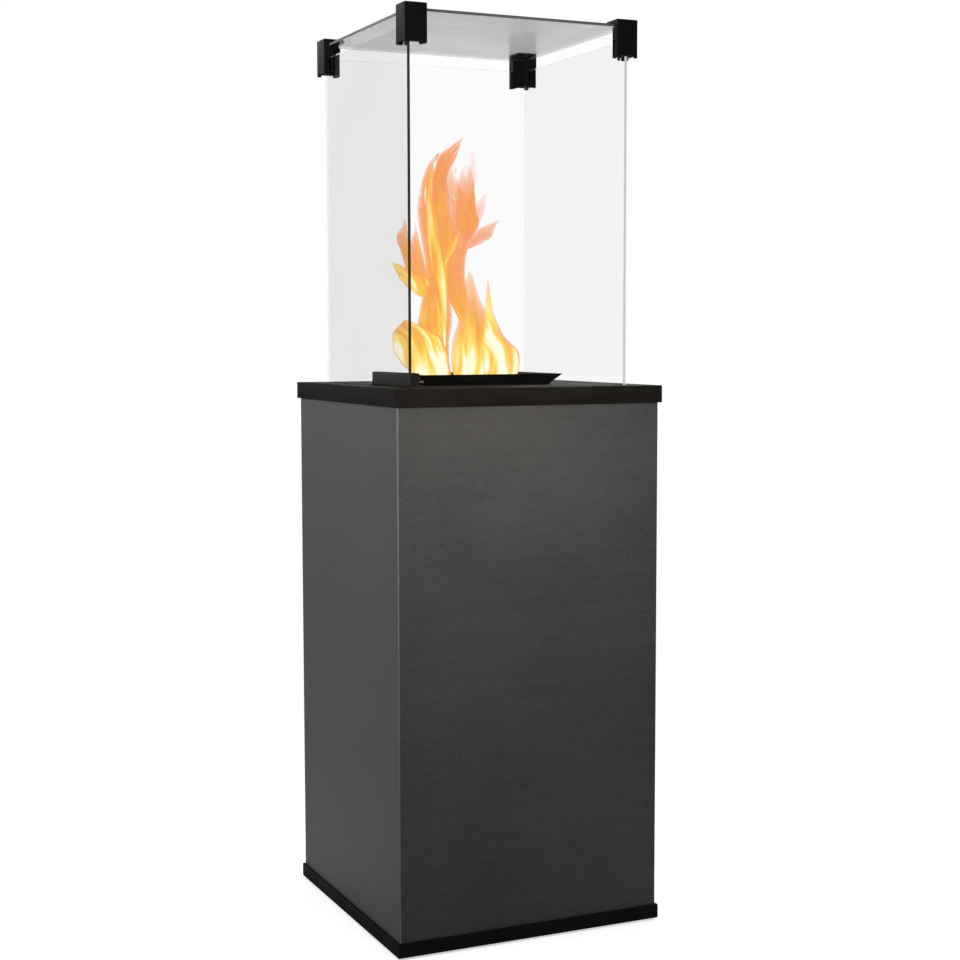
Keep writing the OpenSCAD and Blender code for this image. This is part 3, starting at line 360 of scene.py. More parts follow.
def make_grain():
    """Level streaks: noise on coordinates squeezed upwards, over a soft mottle of one size in
    all directions. Height is the streaks' relief, and Flecks are small marks of handling, which
    come in patches and get denser towards the folds."""
    tree, given, out = group(
        "level_grain",
        [("Vector", "NodeSocketVector", None), ("Lines per metre", "NodeSocketFloat", 700.0),
         ("Stretch", "NodeSocketFloat", 40.0)],
        [("Tone", "NodeSocketFloat"), ("Height", "NodeSocketFloat"),
         ("Flecks", "NodeSocketFloat")])
    along = math_node(tree, "DIVIDE", given["Lines per metre"], given["Stretch"])
    squeeze = put(tree, "ShaderNodeCombineXYZ",
                  {"X": along, "Y": along, "Z": given["Lines per metre"]}).outputs[0]
    lines = put(tree, "ShaderNodeVectorMath", {0: given["Vector"], 1: squeeze},
                operation="MULTIPLY").outputs[0]
    fine = noise(tree, lines, 1.0, 3.0, 0.6)
    wide = noise(tree, lines, WIDE_LINES, 2.0)
    cloud = noise(tree, given["Vector"], CLOUDS, 2.0)
    mottle = noise(tree, given["Vector"], MOTTLE, 3.0, 0.6)
    tone = math_node(tree, "MULTIPLY", cloud, CLOUD_SHARE)
    for part, share in ((fine, FINE_SHARE), (wide, WIDE_SHARE), (mottle, MOTTLE_SHARE)):
        tone = math_node(tree, "ADD", tone, math_node(tree, "MULTIPLY", part, share))
    parts = put(tree, "ShaderNodeSeparateXYZ", {0: given["Vector"]}).outputs
    beside = math_node(tree, "MINIMUM", math_node(tree, "ABSOLUTE", parts["X"]),
                       math_node(tree, "ABSOLUTE", parts["Y"]))
    speck = noise(tree, given["Vector"], SPECKS, 2.0)
    patch = noise(tree, given["Vector"], PATCHES, 1.0)
    flecks = math_node(tree, "MULTIPLY", between(tree, speck, *SPECK_RANGE),
                       between(tree, patch, *PATCH_RANGE))
    denser = between(tree, beside, FLECK_MIDDLE, FLECK_FOLD, FLECK_LEAST, 1.0)
    flecks = math_node(tree, "MULTIPLY", flecks, denser)
    tree.links.new(tone, out["Tone"])
    tree.links.new(fine, out["Height"])
    tree.links.new(flecks, out["Flecks"])
    return tree


# %% Powder coat group
# The size of the slow change, in features per metre, and what it and the pebbles add to the
# tone.
PAINT_DEPTH, DEPTH_SHARE, PEBBLE_SHARE = 11.0, 0.75, 0.25


def make_pebble():
    """A pebbled paint skin: noise of one size all over. Height is the pebbles, and Tone a slow
    change of the paint's depth with a little dust."""
    tree, given, out = group(
        "powder_pebble",
        [("Vector", "NodeSocketVector", None), ("Pebbles per metre", "NodeSocketFloat", 900.0)],
        [("Tone", "NodeSocketFloat"), ("Height", "NodeSocketFloat")])
    pebbles = noise(tree, given["Vector"], given["Pebbles per metre"], 1.0)
    slow = noise(tree, given["Vector"], PAINT_DEPTH, 3.0, 0.6)
    tone = math_node(tree, "ADD", math_node(tree, "MULTIPLY", slow, DEPTH_SHARE),
                     math_node(tree, "MULTIPLY", pebbles, PEBBLE_SHARE))
    tree.links.new(tone, out["Tone"])
    tree.links.new(pebbles, out["Height"])
    return tree


grain_group = make_grain()
pebble_group = make_pebble()
print("groups:", grain_group.name, pebble_group.name)

# %% [markdown]
# ## Materials
# Every finish is a Principled shader whose colour, roughness and relief come from the
# groups above. `finish` does what they share: it places the group, turns its Tone into a
# colour between a dark and a light one and into a roughness, and its Height into a bump.
# Values that are the same all over go straight onto the shader.


# %% Material builder
MICRON = 1e-6
# Flecks are this many times as light as the light tone, and cover at most this share of it.
FLECK_LIFT, FLECK_COVER = 1.6, 0.5


def finish(name, effect, dark, light, rough, bump, values=None, numbers=None):
    """A material from one effect group: colour between dark and light, roughness between the
    two values of rough, and a bump of that height. values go onto the shader, and numbers onto
    the group."""
    made = bpy.data.materials.new(name)
    made.use_nodes = True
    tree = made.node_tree
    shader = tree.nodes["Principled BSDF"]
    place = put(tree, "ShaderNodeTexCoord").outputs["Object"]
    used = put(tree, "ShaderNodeGroup", node_tree=effect)
    tree.links.new(place, used.inputs["Vector"])
    for label, value in (numbers or {}).items():
        used.inputs[label].default_value = value
    colour = blend(tree, spread(tree, used.outputs["Tone"]), dark, light)
    if "Flecks" in used.outputs:
        fleck = tuple(min(1.0, FLECK_LIFT * c) for c in light[:3]) + (1.0,)
        cover = math_node(tree, "MULTIPLY", used.outputs["Flecks"], FLECK_COVER)
        colour = blend(tree, cover, colour, fleck)
    tree.links.new(colour, shader.inputs["Base Color"])
    tree.links.new(spread(tree, used.outputs["Tone"], *rough), shader.inputs["Roughness"])
    relief = put(tree, "ShaderNodeBump",
                 {"Height": used.outputs["Height"], "Distance": bump, "Strength": 1.0})
    tree.links.new(relief.outputs["Normal"], shader.inputs["Normal"])
    for label, value in (values or {}).items():
        shader.inputs[label].default_value = value
    return made


# %% Graphite steel
graphite = finish("graphite_steel", grain_group, grey(0.032, -0.01), grey(0.049, -0.01),
                  (0.42, 0.55), 8 * MICRON, {"Specular IOR Level": 0.2},
                  {"Lines per metre": 650.0, "Stretch": 28.0})
# A painted highlight along the upright folds of the wrap: the colour is lighter where a fold would
# catch the light.
FOLD_AT, FOLD_WIDTH = 0.205, 0.0024
FOLD_HIGHLIGHT_TONE, FOLD_HIGHLIGHT_COVER = 0.13, 0.75
# The painted highlight is full over the outer part of the fold's width and fades over this share
# of it.
FOLD_HIGHLIGHT_FADE = 0.6


def paint_fold_highlight(material, reach, width):
    """Lightens a graphite sheet along its upright folds as a painted highlight, where a fold
    would catch the light: there both |x| and |y| are within width of the reach of the sheet."""
    tree = material.node_tree
    shader = tree.nodes["Principled BSDF"]
    plain = shader.inputs["Base Color"].links[0].from_socket
    place = put(tree, "ShaderNodeTexCoord").outputs["Object"]
    parts = put(tree, "ShaderNodeSeparateXYZ", {0: place}).outputs
    near = math_node(tree, "MINIMUM", math_node(tree, "ABSOLUTE", parts["X"]),
                     math_node(tree, "ABSOLUTE", parts["Y"]))
    highlight_mask = between(tree, near, reach - width, reach - (1 - FOLD_HIGHLIGHT_FADE) * width, 0.0, FOLD_HIGHLIGHT_COVER)
    tree.links.new(blend(tree, highlight_mask, plain, grey(FOLD_HIGHLIGHT_TONE)), shader.inputs["Base Color"])


paint_fold_highlight(graphite, FOLD_AT, FOLD_WIDTH)
print("graphite ready, with a painted highlight along its folds at", FOLD_AT, "m")

# %% Black paints
black_coat = finish("black_powder_coat", pebble_group, grey(0.0045, 0.1), grey(0.008, 0.1),
                    (0.70, 0.90), 30 * MICRON, {"Specular IOR Level": 0.06},
                    {"Pebbles per metre": 1100.0})
clip_black = finish("clip_black", pebble_group, grey(0.005), grey(0.007), (0.35, 0.50),
                    10 * MICRON, {"Specular IOR Level": 0.06}, {"Pebbles per metre": 1500.0})
dark_steel = finish("dark_steel", pebble_group, grey(0.02), grey(0.035), (0.5, 0.65),
                    20 * MICRON)
print("black paints ready")

# %% Bare metals
METAL = {"Metallic": 1.0}
FINE = {"Lines per metre": 1500.0, "Stretch": 12.0}
stainless = finish("stainless_steel", grain_group, grey(0.38), grey(0.56), (0.28, 0.42),
                   10 * MICRON, METAL, FINE)
brass = finish("brass", grain_group, (0.50, 0.35, 0.14, 1), (0.70, 0.52, 0.24, 1), (0.25, 0.4),
               10 * MICRON, METAL, FINE)
copper = finish("copper", grain_group, (0.52, 0.24, 0.14, 1), (0.72, 0.38, 0.25, 1),
                (0.28, 0.42), 10 * MICRON, METAL, FINE)
# Heat has stained the steel that the flame stands on.
scorched = finish("scorched_steel", grain_group, (0.030, 0.024, 0.022, 1),
                  (0.075, 0.062, 0.055, 1), (0.40, 0.60), 10 * MICRON, METAL,
                  {"Lines per metre": 900.0, "Stretch": 6.0})
print("bare metals ready")

# %% Rubber, plastic and ceramic
rubber = finish("rubber", pebble_group, grey(0.010), grey(0.018), (0.7, 0.85), 40 * MICRON,
                {"Specular IOR Level": 0.3}, {"Pebbles per metre": 1800.0})
black_plastic = finish("black_plastic", pebble_group, grey(0.012), grey(0.020), (0.42, 0.55),
                       30 * MICRON, {"Specular IOR Level": 0.4}, {"Pebbles per metre": 2200.0})
red_plastic = finish("red_plastic", pebble_group, (0.36, 0.012, 0.01, 1),
                     (0.50, 0.025, 0.018, 1), (0.35, 0.48), 20 * MICRON, None,
                     {"Pebbles per metre": 2200.0})
ceramic = finish("ceramic", pebble_group, (0.66, 0.62, 0.54, 1), (0.80, 0.77, 0.70, 1),
                 (0.15, 0.25), 10 * MICRON, {"Coat Weight": 0.5}, {"Pebbles per metre": 500.0})
print("plastics ready")

# %% [markdown]
# ## Give every CAD node its finish
# The nodes keep their own meshes. Only their material slot changes, node by node.

# %% Node finishes
CLIPS = [f"clip_{end}_{hand}" for end in ("front", "rear") for hand in ("left", "right")]
NODE_FINISH = {
    graphite: ["cabinet_wrap", "rear_sill", "rear_header", "rear_door"],
    black_coat: ["base_plinth", "top_tray", "hearth_plate", "burner_dish", "igniter_housing",
                 "control_panel"],
    clip_black: CLIPS,
    dark_steel: ["floor_plate", "corner_posts", "door_magnets"],
    scorched: ["burner_plate", "burner_box", "pilot_bracket"],
    stainless: ["foot_screws", "heat_shield", "clip_screws", "venturi_tube",
                "injector_bracket", "dial_ring", "valve_stem", "igniter_bezel",
                "strike_plates", "pivot_pins", "pivot_washers", "burner_screws",
                "valve_screws"],
    brass: ["injector", "pilot_burner", "gas_valve", "inlet_fitting"],
    copper: ["thermocouple", "main_gas_tube", "pilot_tube", "thermocouple_lead"],
    rubber: ["feet", "glass_gasket", "clip_pads"],
    ceramic: ["spark_electrode"],
    black_plastic: ["control_knob", "igniter_body"],
    red_plastic: ["igniter_button", "spark_lead"],
}
for material, names in NODE_FINISH.items():
    for name in names:
        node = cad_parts[name]
        node.data.materials.clear()
        node.data.materials.append(material)
finished = {name for names in NODE_FINISH.values() for name in names}
print("still bare:", sorted(set(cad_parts) - finished))

# %% [markdown]
# ## Folded sheet has soft edges
# A folded or laser-cut edge is never a perfect corner: it has a small radius that catches
# a thin line of light. A copy of the node is merged into clean faces, and a Bevel rounds
# the edges that turn by more than 30 degrees. The copy then stands for the node.


# %% Soft edges
FLAT_DEG, SHARP_DEG, BEVEL_STEPS = 0.4, 30, 2


def soften(node, width):
    """A copy of a CAD node of black sheet, with its flat faces joined and its sharp edges
    rounded by width."""
    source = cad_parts[node]
    mesh = source.data.copy()
    work = bmesh.new()
    work.from_mesh(mesh)
    bmesh.ops.remove_doubles(work, verts=work.verts, dist=2 * SAME_POINT)
    bmesh.ops.dissolve_limit(work, angle_limit=math.radians(FLAT_DEG), verts=work.verts,
                             edges=work.edges)
    for face in work.faces:
        face.smooth = True
    work.to_mesh(mesh)
    work.free()
    made = piece(node + "_finished", mesh, [], "cabinet")
    bevel = made.modifiers.new("soft_edge", "BEVEL")
    bevel.width = width
    bevel.segments = BEVEL_STEPS
    bevel.limit_method = "ANGLE"
    bevel.angle_limit = math.radians(SHARP_DEG)
    bevel.harden_normals = True
    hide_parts(node)
    return made


SOFT_EDGES = {"top_tray": 0.0008, "base_plinth": 0.0008, **dict.fromkeys(CLIPS, 0.0006),
              "burner_dish": 0.0004, "igniter_housing": 0.0005}
for node, width in SOFT_EDGES.items():
    soft = soften(node, width)
    print(soft.name, "faces", len(soft.data.polygons))

# %% [markdown]
# ## Glass
# A pane is clear inside and ground at its edges, where a fine grinding wheel leaves a dull
# band with a small slope along both arrises. The pane is a profile carried round its
# outline: from the middle of one face, out over the arris, across the edge, and back to
# the middle of the other face. The rows of faces on the edge get the ground material.

# %% Glass materials
PANE_INDEX, ROOF_INDEX, ROOF_ROUGHNESS, ROOF_TONE = 1.05, 1.5, 0.3, 0.02
# How much of the ceiling's mirror image is left where the sight line is straight.
ROOF_MIRROR = 0.08
# The Facing value runs from 0, straight on, to 1, edge-on.
STRAIGHT_ON, SLANTED = 0.1, 0.75
ROOF_STRAIGHT, ROOF_SLANTED = 0.2, 0.9
HAZE, ROOF_HAZE = 0.04, 0.02
HAZE_SCALE, ROOF_HAZE_SCALE = 6.0, 7.0
# The tint of lamp light that has passed a pane.
LAMP_TINT = (0.96, 0.97, 0.96, 1)


def clear_glass(name, straight, slanting):
    """Clear glass that lets lamp light through. Its colour darkens where the sight line slants:
    a painted reflection, in place of the dim studio that slanted glass would mirror. The index is
    low because the photograph shows hardly any mirror image in the panes."""
    made = bpy.data.materials.new(name)
    made.use_nodes = True
    tree = made.node_tree
    shader = tree.nodes["Principled BSDF"]
    shader.inputs["Roughness"].default_value = 0.0
    shader.inputs["IOR"].default_value = PANE_INDEX
    shader.inputs["Transmission Weight"].default_value = 1.0
    # Painted reflection: the colour goes from straight to slanting as the sight line slants.
    slant = put(tree, "ShaderNodeLayerWeight", {"Blend": 0.5}).outputs["Facing"]
    place = put(tree, "ShaderNodeTexCoord").outputs["Object"]
    haze = noise(tree, place, HAZE_SCALE, 2.0)
    slant = math_node(tree, "ADD", between(tree, slant, STRAIGHT_ON, SLANTED),
                      spread(tree, haze, -HAZE, HAZE), clamp=True)
    tree.links.new(blend(tree, slant, straight, slanting), shader.inputs["Base Color"])
    clear = put(tree, "ShaderNodeBsdfTransparent", {"Color": LAMP_TINT})
    path = put(tree, "ShaderNodeLightPath").outputs["Is Shadow Ray"]
    mixed = put(tree, "ShaderNodeMixShader", {0: path, 1: shader.outputs[0],
                                              2: clear.outputs[0]})
    tree.links.new(mixed.outputs[0], tree.nodes["Material Output"].inputs["Surface"])
    return made


def roof_material(straight, slanting, mirror):
    """The ceiling pane, nearly edge-on in the picture: clear glass under a soft mirror image
    that gets stronger where the sight line slants."""
    made = bpy.data.materials.new("roof_glass")
    made.use_nodes = True
    tree = made.node_tree
    shader = tree.nodes["Principled BSDF"]
    shader.inputs["Base Color"].default_value = grey(ROOF_TONE)
    shader.inputs["Roughness"].default_value = ROOF_ROUGHNESS
    shader.inputs["IOR"].default_value = ROOF_INDEX
    slant = put(tree, "ShaderNodeLayerWeight", {"Blend": 0.5}).outputs["Facing"]
    slant = between(tree, slant, ROOF_STRAIGHT, ROOF_SLANTED)
    place = put(tree, "ShaderNodeTexCoord").outputs["Object"]
    haze = spread(tree, noise(tree, place, ROOF_HAZE_SCALE, 3.0), -ROOF_HAZE, ROOF_HAZE)
    share = put(tree, "ShaderNodeMix", {0: slant, 2: ROOF_MIRROR, 3: mirror}).outputs[0]
    share = math_node(tree, "ADD", share, haze)
    clear = put(tree, "ShaderNodeBsdfTransparent",
                {"Color": blend(tree, slant, grey(straight), grey(slanting))})
    mixed = put(tree, "ShaderNodeMixShader", {0: share, 1: clear.outputs[0],
                                              2: shader.outputs[0]})
    tree.links.new(mixed.outputs[0], tree.nodes["Material Output"].inputs["Surface"])
    return made


# The dark and the light tone of a ground edge, as shares of its level.
EDGE_TONES = (0.85, 1.1)


def ground_edge(name, level, alpha=1.0, glow=0.0):
    """The dull ground edge of a pane. With a low alpha it is a fine, nearly clear one, and
    with a glow it gives off painted light, an emission in place of the light that the pane carries
    to its edge."""
    dark, light = (grey(tone * level) for tone in EDGE_TONES)
    return finish(name, pebble_group, dark, light, (0.45, 0.6), 10 * MICRON,
                  {"Specular IOR Level": 0.06, "Alpha": alpha, "Emission Color": grey(glow),
                   "Emission Strength": 1.0},
                  {"Pebbles per metre": 1600.0})


pane_glass = clear_glass("pane_glass", grey(0.985), (0.87, 0.87, 0.865, 1))
# left_glass is the same clear glass with a darker slanting colour: a stronger painted reflection
# on the pane at the left.
left_glass = clear_glass("left_glass", grey(0.985), (0.77, 0.765, 0.76, 1))
roof_glass = roof_material(straight=0.95, slanting=0.88, mirror=0.35)
# One ground edge at several levels: the dark level is painted shade, the grey and pale levels are
# painted light, and the pale one also glows with painted light.
edge_dark = ground_edge("glass_edge_dark", 0.008)
edge_pale = ground_edge("glass_edge_pale", 0.05, glow=0.50)
edge_grey = ground_edge("glass_edge_grey", 0.12)
edge_clear = ground_edge("glass_edge_clear", 0.60, alpha=0.15)
print("glass ready")


# %% Panes
ARRIS = 0.0006
# The parts of a normal that lie across the pane, at most, and towards its side, at least, on
# the faces of a ground edge.
ACROSS_MOST, TOWARDS_LEAST = 0.9, 0.6


def pane_mesh(name, low, high, thin):
    """A flat pane between two corners. A profile runs from the middle of one face over the
    arris, the edge and the other arris to the middle of the other face, and is carried round
    the four corners of the outline."""
    wide = [axis for axis in range(3) if axis != thin]
    middle, reach = (low + high) / 2, (high - low) / 2
    outward = np.array([0.0, 1.0, 1.0, 1.0, 1.0, 0.0])
    inset = np.array([0.0, ARRIS, 0.0, 0.0, ARRIS, 0.0])
    rise = reach[thin] - np.array([0.0, 0.0, ARRIS, ARRIS, 0.0, 0.0])
    side = np.array([-1.0, -1.0, -1.0, 1.0, 1.0, 1.0])
    signs = np.array([[-1, -1], [1, -1], [1, 1], [-1, 1]])
    points = np.zeros((len(side), len(signs), 3))
    for column, axis in enumerate(wide):
        out = outward * (reach[axis] - inset)
        points[:, :, axis] = middle[axis] + out[:, None] * signs[None, :, column]
    points[:, :, thin] = middle[thin] + (side * rise)[:, None]
    return cleaned(surface(name, points, closed=True, smooth=False))


def pane(node, glass, edges):
    """A pane with ground edges in place of a CAD node. edges holds (axis, sign, material) for
    each edge that is ground; the others are polished and stay glass."""
    low, high = (np.array(corner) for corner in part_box(node))
    thin = int(np.argmin(high - low))
    mesh = pane_mesh(node, low, high, thin)
    made = piece(node + "_pane", mesh, [glass] + [edge[2] for edge in edges], "cabinet")
    normals = np.zeros(3 * len(mesh.polygons))
    mesh.polygons.foreach_get("normal", normals)
    normals = normals.reshape(-1, 3)
    chosen = np.zeros(len(mesh.polygons), dtype=np.int32)
    for number, (axis, sign, _) in enumerate(edges, start=1):
        ground = np.abs(normals[:, thin]) < ACROSS_MOST
        ground &= normals[:, axis] * sign > TOWARDS_LEAST
        chosen[ground] = number
    mesh.polygons.foreach_set("material_index", chosen)
    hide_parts(node)


X, Y, Z = 0, 1, 2
TOP = (Z, 1, edge_clear)
pane("front_glass", pane_glass, [(X, -1, edge_dark), (X, 1, edge_clear), TOP])
pane("rear_glass", pane_glass, [(X, -1, edge_clear), (X, 1, edge_clear), TOP])
pane("left_glass", left_glass, [(Y, -1, edge_dark), (Y, 1, edge_clear), TOP])
pane("right_glass", pane_glass, [(Y, -1, edge_pale), (Y, 1, edge_clear), TOP])
pane("top_glass", roof_glass, [(X, -1, edge_grey), (Y, -1, edge_grey), (X, 1, edge_clear),
                               (Y, 1, edge_clear)])
print("five panes")

# %% [markdown]
# ## Fire
# A gas flame is a bundle of thin tongues. Each one is drawn as a person would sketch it: a
# few heights, and at each height the middle and the half width of the tongue. A smooth curve
# runs through them, and the flat outline becomes a body with oval sections that turn a
# little as they rise, as hot gas does. Colour is a matter of heat: nearly white low down,
# yellow in the streaks, amber around them, and a clear peach towards the tips. Gas is thin
# where a tongue is seen edge-on, so it fades there, while the hot ones keep an orange
# outline, and cool gas breaks up into threads as it gets old.

# %% Flame outlines
TONGUES = {
    # name: (y, depth over half width, heat, cover, fade at the tip,
    #        [(height, middle, half width), ...]), all lengths in mm
    "main": (0, 0.55, 0.60, 0.98, 0.05, [
        (801, -60, 26), (853, -67, 27), (890, -61, 28), (927, -58, 23), (965, -57, 20),
        (1014, -56, 27), (1063, -64, 26), (1102, -62, 19), (1126, -59, 11),
        (1142, -54, 2)]),
    "crest": (-12, 0.50, 0.40, 0.98, 0.10, [
        (1020, -64, 2), (1050, -63, 8), (1079, -61, 10), (1111, -55, 13), (1134, -46, 15),
        (1162, -22, 2)]),
    "streak": (-20, 0.50, 0.88, 0.85, 1.0, [
        (850, -54, 1), (915, -57, 6), (952, -61, 9), (988, -68, 10), (1025, -73, 9),
        (1095, -78, 3)]),
    "strand": (20, 0.55, 0.44, 0.93, 0.6, [
        (888, -8, 2), (915, -13, 13), (940, -18, 17), (968, -22, 18), (998, -19, 20),
        (1033, -11, 29), (1066, -14, 25), (1095, -22, 12), (1113, -20, 7), (1128, -17, 1)]),
    "strand_tip": (16, 0.50, 0.38, 0.92, 0.97, [
        (1012, -3, 3), (1038, -1, 20), (1058, -3, 18), (1078, -2, 16), (1098, -1, 14),
        (1116, 0, 10), (1130, 2, 3)]),
    "spike": (10, 0.60, 0.30, 0.70, 0.4, [
        (1050, 2, 7), (1071, 4, 6), (1086, 6, 3), (1104, 6, 1)]),
    "fork": (12, 0.70, 0.34, 0.50, 0.8, [
        (990, -10, 2), (1013, -4, 8), (1038, 6, 13), (1062, 16, 11), (1086, 28, 1)]),
    "wisp": (8, 0.50, 0.32, 0.86, 0.9, [
        (999, -4, 2), (1008, 10, 11), (1018, 20, 17), (1029, 26, 14), (1046, 48, 1)]),
    "vapour": (26, 0.60, 0.25, 0.15, 0.6, [
        (1060, 6, 3), (1090, 9, 8), (1134, 12, 5), (1162, 10, 1)]),
    "hook": (-18, 0.50, 0.84, 0.97, 0.0, [
        (926, -90, 2), (938, -95, 14), (950, -101, 21), (960, -110, 18), (969, -121, 11),
        (977, -134, 1)]),
    "left_lick": (-12, 0.50, 0.48, 0.97, 0.8, [
        (948, -100, 5), (966, -101, 11), (981, -106, 11), (995, -109, 12), (1007, -114, 12),
        (1018, -115, 10), (1030, -112, 4), (1043, -113, 1)]),
    "inner_lick": (-20, 0.60, 0.56, 0.95, 0.8, [
        (936, -89, 2), (954, -91, 7), (969, -93, 8), (983, -95, 8), (1001, -98, 7),
        (1015, -100, 5), (1036, -102, 1)]),
    "thin": (4, 0.70, 0.50, 0.85, 0.5, [
        (890, -14, 2), (908, -22, 5), (923, -28, 6), (938, -32, 4), (951, -33, 1)]),
    "lobe": (-28, 0.60, 0.93, 0.96, 0.0, [
        (801, -70, 18), (825, -86, 36), (850, -97, 42), (868, -104, 37), (880, -112, 24),
        (893, -120, 1)]),
    "second": (12, 0.70, 0.70, 0.97, 0.7, [
        (801, 3, 27), (830, 6, 33), (858, 6, 32), (890, 7, 25), (928, -3, 18), (950, 0, 8),
        (969, 3, 1)]),
    "right": (-10, 0.80, 0.81, 0.95, 0.3, [
        (801, 44, 22), (822, 43, 29), (846, 40, 29), (868, 30, 17), (895, 24, 9),
        (953, 23, 1)]),
    "filament": (-8, 0.80, 0.86, 0.70, 0.3, [
        (966, -54, 1), (985, -46, 5), (1005, -34, 5), (1026, -24, 1)]),
    "rear_left": (38, 0.80, 0.60, 0.85, 0.7, [
        (801, -42, 16), (850, -42, 19), (920, -38, 16), (985, -40, 12), (1040, -46, 1)]),
    "rear_right": (40, 0.90, 0.66, 0.85, 0.7, [
        (801, 20, 18), (845, 24, 20), (885, 22, 13), (930, 19, 1)]),
}
print("tongues:", len(TONGUES))


# %% Smooth rows
def smooth_rows(rows, levels):
    """Middle and half width at each level. With t from 0 at one row to 1 at the next, the curve
    is the first value times (1 + 2t)(1 - t)^2 plus the next one times t^2 (3 - 2t), plus the
    step times the first slope times t (1 - t)^2, less the step times the next slope times
    t^2 (1 - t). The slope at a row is the mean slope around it."""
    rows = np.array(rows, dtype=float)
    heights = rows[:, 0]
    k = np.clip(np.searchsorted(heights, levels, side="right") - 1, 0, len(heights) - 2)
    step = heights[k + 1] - heights[k]
    t = (levels - heights[k]) / step
    curves = []
    for values in (rows[:, 1], rows[:, 2]):
        slope = np.gradient(values, heights)
        curves.append(values[k] * (1 + 2 * t) * (1 - t) ** 2 + values[k + 1] * t * t * (3 - 2 * t)
                      + step * (slope[k] * t * (1 - t) ** 2 - slope[k + 1] * t * t * (1 - t)))
    return curves


# %% Tongue shape
FLAME_ROWS, FLAME_ROUND = 60, 32
# Ripples and sway are waves, of so many radians from foot to tip. Ripples are as large as a
# share of the half width.
RIPPLE_RAD, RIPPLE_SHARE = 23, 0.04
SWAY_RAD, SWAY_MM = 5, 4
TWIST_DEG, LEAST_HALF_MM = 6, 0.5
# Streaks are this wide and this long in mm, before the noise scales them.
STREAK_WIDE, STREAK_LONG = 9, 70
# What the seed is multiplied by, so that no two tongues ripple, turn or streak alike.
RIPPLE_PHASE, TWIST_PHASE, FLOW_PHASE = 1.7, 2.1, 7.3
MM = 0.001
# The two parameters of a tongue's surface: up from foot to tip, and round its section.
UP = np.linspace(0, 1, FLAME_ROWS)[:, None]
AROUND = np.linspace(0, 2 * np.pi, FLAME_ROUND, endpoint=False)[None, :]


def tongue(y, flat, rows, seed):
    """Points of one tongue, and where each lies in the flow. At every level the section is an
    oval: half * cos(a) across and flat * half * sin(a) deep, turned a little more with each
    level and moved to the middle of the tongue. Small ripples grow with the height. The seed
    sets the phase of each wave."""
    levels = np.linspace(rows[0][0], rows[-1][0], FLAME_ROWS)
    middle, half = (f[:, None] for f in smooth_rows(rows, levels))
    t, a = UP, AROUND
    ripple = np.sin(RIPPLE_RAD * t + RIPPLE_PHASE * seed + np.sign(np.cos(a)))
    half = np.maximum(half, LEAST_HALF_MM) * (1 + RIPPLE_SHARE * t * ripple)
    half[0] = half[-1] = 0
    angle = np.radians(TWIST_DEG * np.sin(TWIST_PHASE * seed)) * (1 + t)
    across, deep = half * np.cos(a), flat * half * np.sin(a)
    x = middle + across * np.cos(angle) - deep * np.sin(angle)
    sway = SWAY_MM * np.sin(SWAY_RAD * t + seed) * t
    depth = y + sway + across * np.sin(angle) + deep * np.cos(angle)
    height = levels[:, None] + 0 * a
    flow = np.stack([across / STREAK_WIDE, height / STREAK_LONG,
                     FLOW_PHASE * seed + 0 * across], axis=-1)
    return np.stack([x, depth, height], axis=-1) * MM, flow


# %% All the tongues in one mesh
# Below the first height gas gains heat, up to FOOT_HEAT at HOT_LONG_MM further down. Every
# tongue loses COOLING from foot to tip.
HOT_TOP_MM, HOT_LONG_MM, FOOT_HEAT, COOLING = 900, 100, 0.15, 0.20


def flame_mesh(name):
    """All the tongues in one mesh. Each point holds its place across the tongue, the heat, age
    and cover of its gas, and where it lies in the flow, which the streaks follow. Age runs from
    0 at the foot of a tongue to 1 at its tip."""
    points, quads = [], []
    held = {"across": [], "warmth": [], "age": [], "cover": [], "flow": []}
    one = np.ones((FLAME_ROWS, FLAME_ROUND))
    for seed, (y, flat, heat, cover, fade, rows) in enumerate(TONGUES.values()):
        grid, flow = tongue(y, flat, rows, seed)
        quads.append(faces_of(grid, close=True) + seed * one.size)
        points.append(grid.reshape(-1, 3))
        low = np.clip((HOT_TOP_MM - grid[..., 2] / MM) / HOT_LONG_MM, 0, 1)
        held["across"].append((np.cos(AROUND) * one).ravel())
        held["warmth"].append((heat + FOOT_HEAT * low ** 2 - COOLING * UP).ravel())
        held["age"].append((UP * one).ravel())
        held["cover"].append((cover * (1 - fade * UP ** 3) * one).ravel())
        held["flow"].append(flow.reshape(-1, 3))
    mesh = mesh_of(name, np.concatenate(points), np.concatenate(quads))
    for label, values in held.items():
        vector = label == "flow"
        layer = mesh.attributes.new(label, "FLOAT_VECTOR" if vector else "FLOAT", "POINT")
        layer.data.foreach_set("vector" if vector else "value", np.concatenate(values).ravel())
    return cleaned(mesh)


# %% Flame material
# Colours at the two ends of the heat, and at four heats between them.
COOLEST, HOTTEST = (0.84, 0.28, 0.11, 1), (1.0, 0.97, 0.78, 1)
BETWEEN_COLOURS = {0.30: (0.85, 0.32, 0.12, 1), 0.50: (0.87, 0.38, 0.07, 1),
                   0.70: (0.94, 0.58, 0.10, 1), 0.86: (1.0, 0.76, 0.20, 1)}
GLOW = 1.10
# Gas below the first heat counts as cool, and above the second as hot.
COOL, HOT = 0.45, 0.80
STREAK_SCALE, THREAD_SCALE = 0.6, 1.9
# How much heat the streaks add and take away in cool gas and in hot gas, and the threads.
STREAK_COOL, STREAK_HOT, THREAD_HEAT = 0.14, 0.30, 0.07
# How much heat is lost at the rim of a tongue, and where it is seen edge-on.
RIM_FROM, RIM_LOSS = 0.45, 0.14
EDGE_FROM, EDGE_TO, EDGE_LOSS = 0.45, 0.85, 0.45
# The power of the fade towards an edge-on sight line in cool gas, and how much less it is in
# hot gas.
FADE_COOL, FADE_LESS = 1.5, 1.1
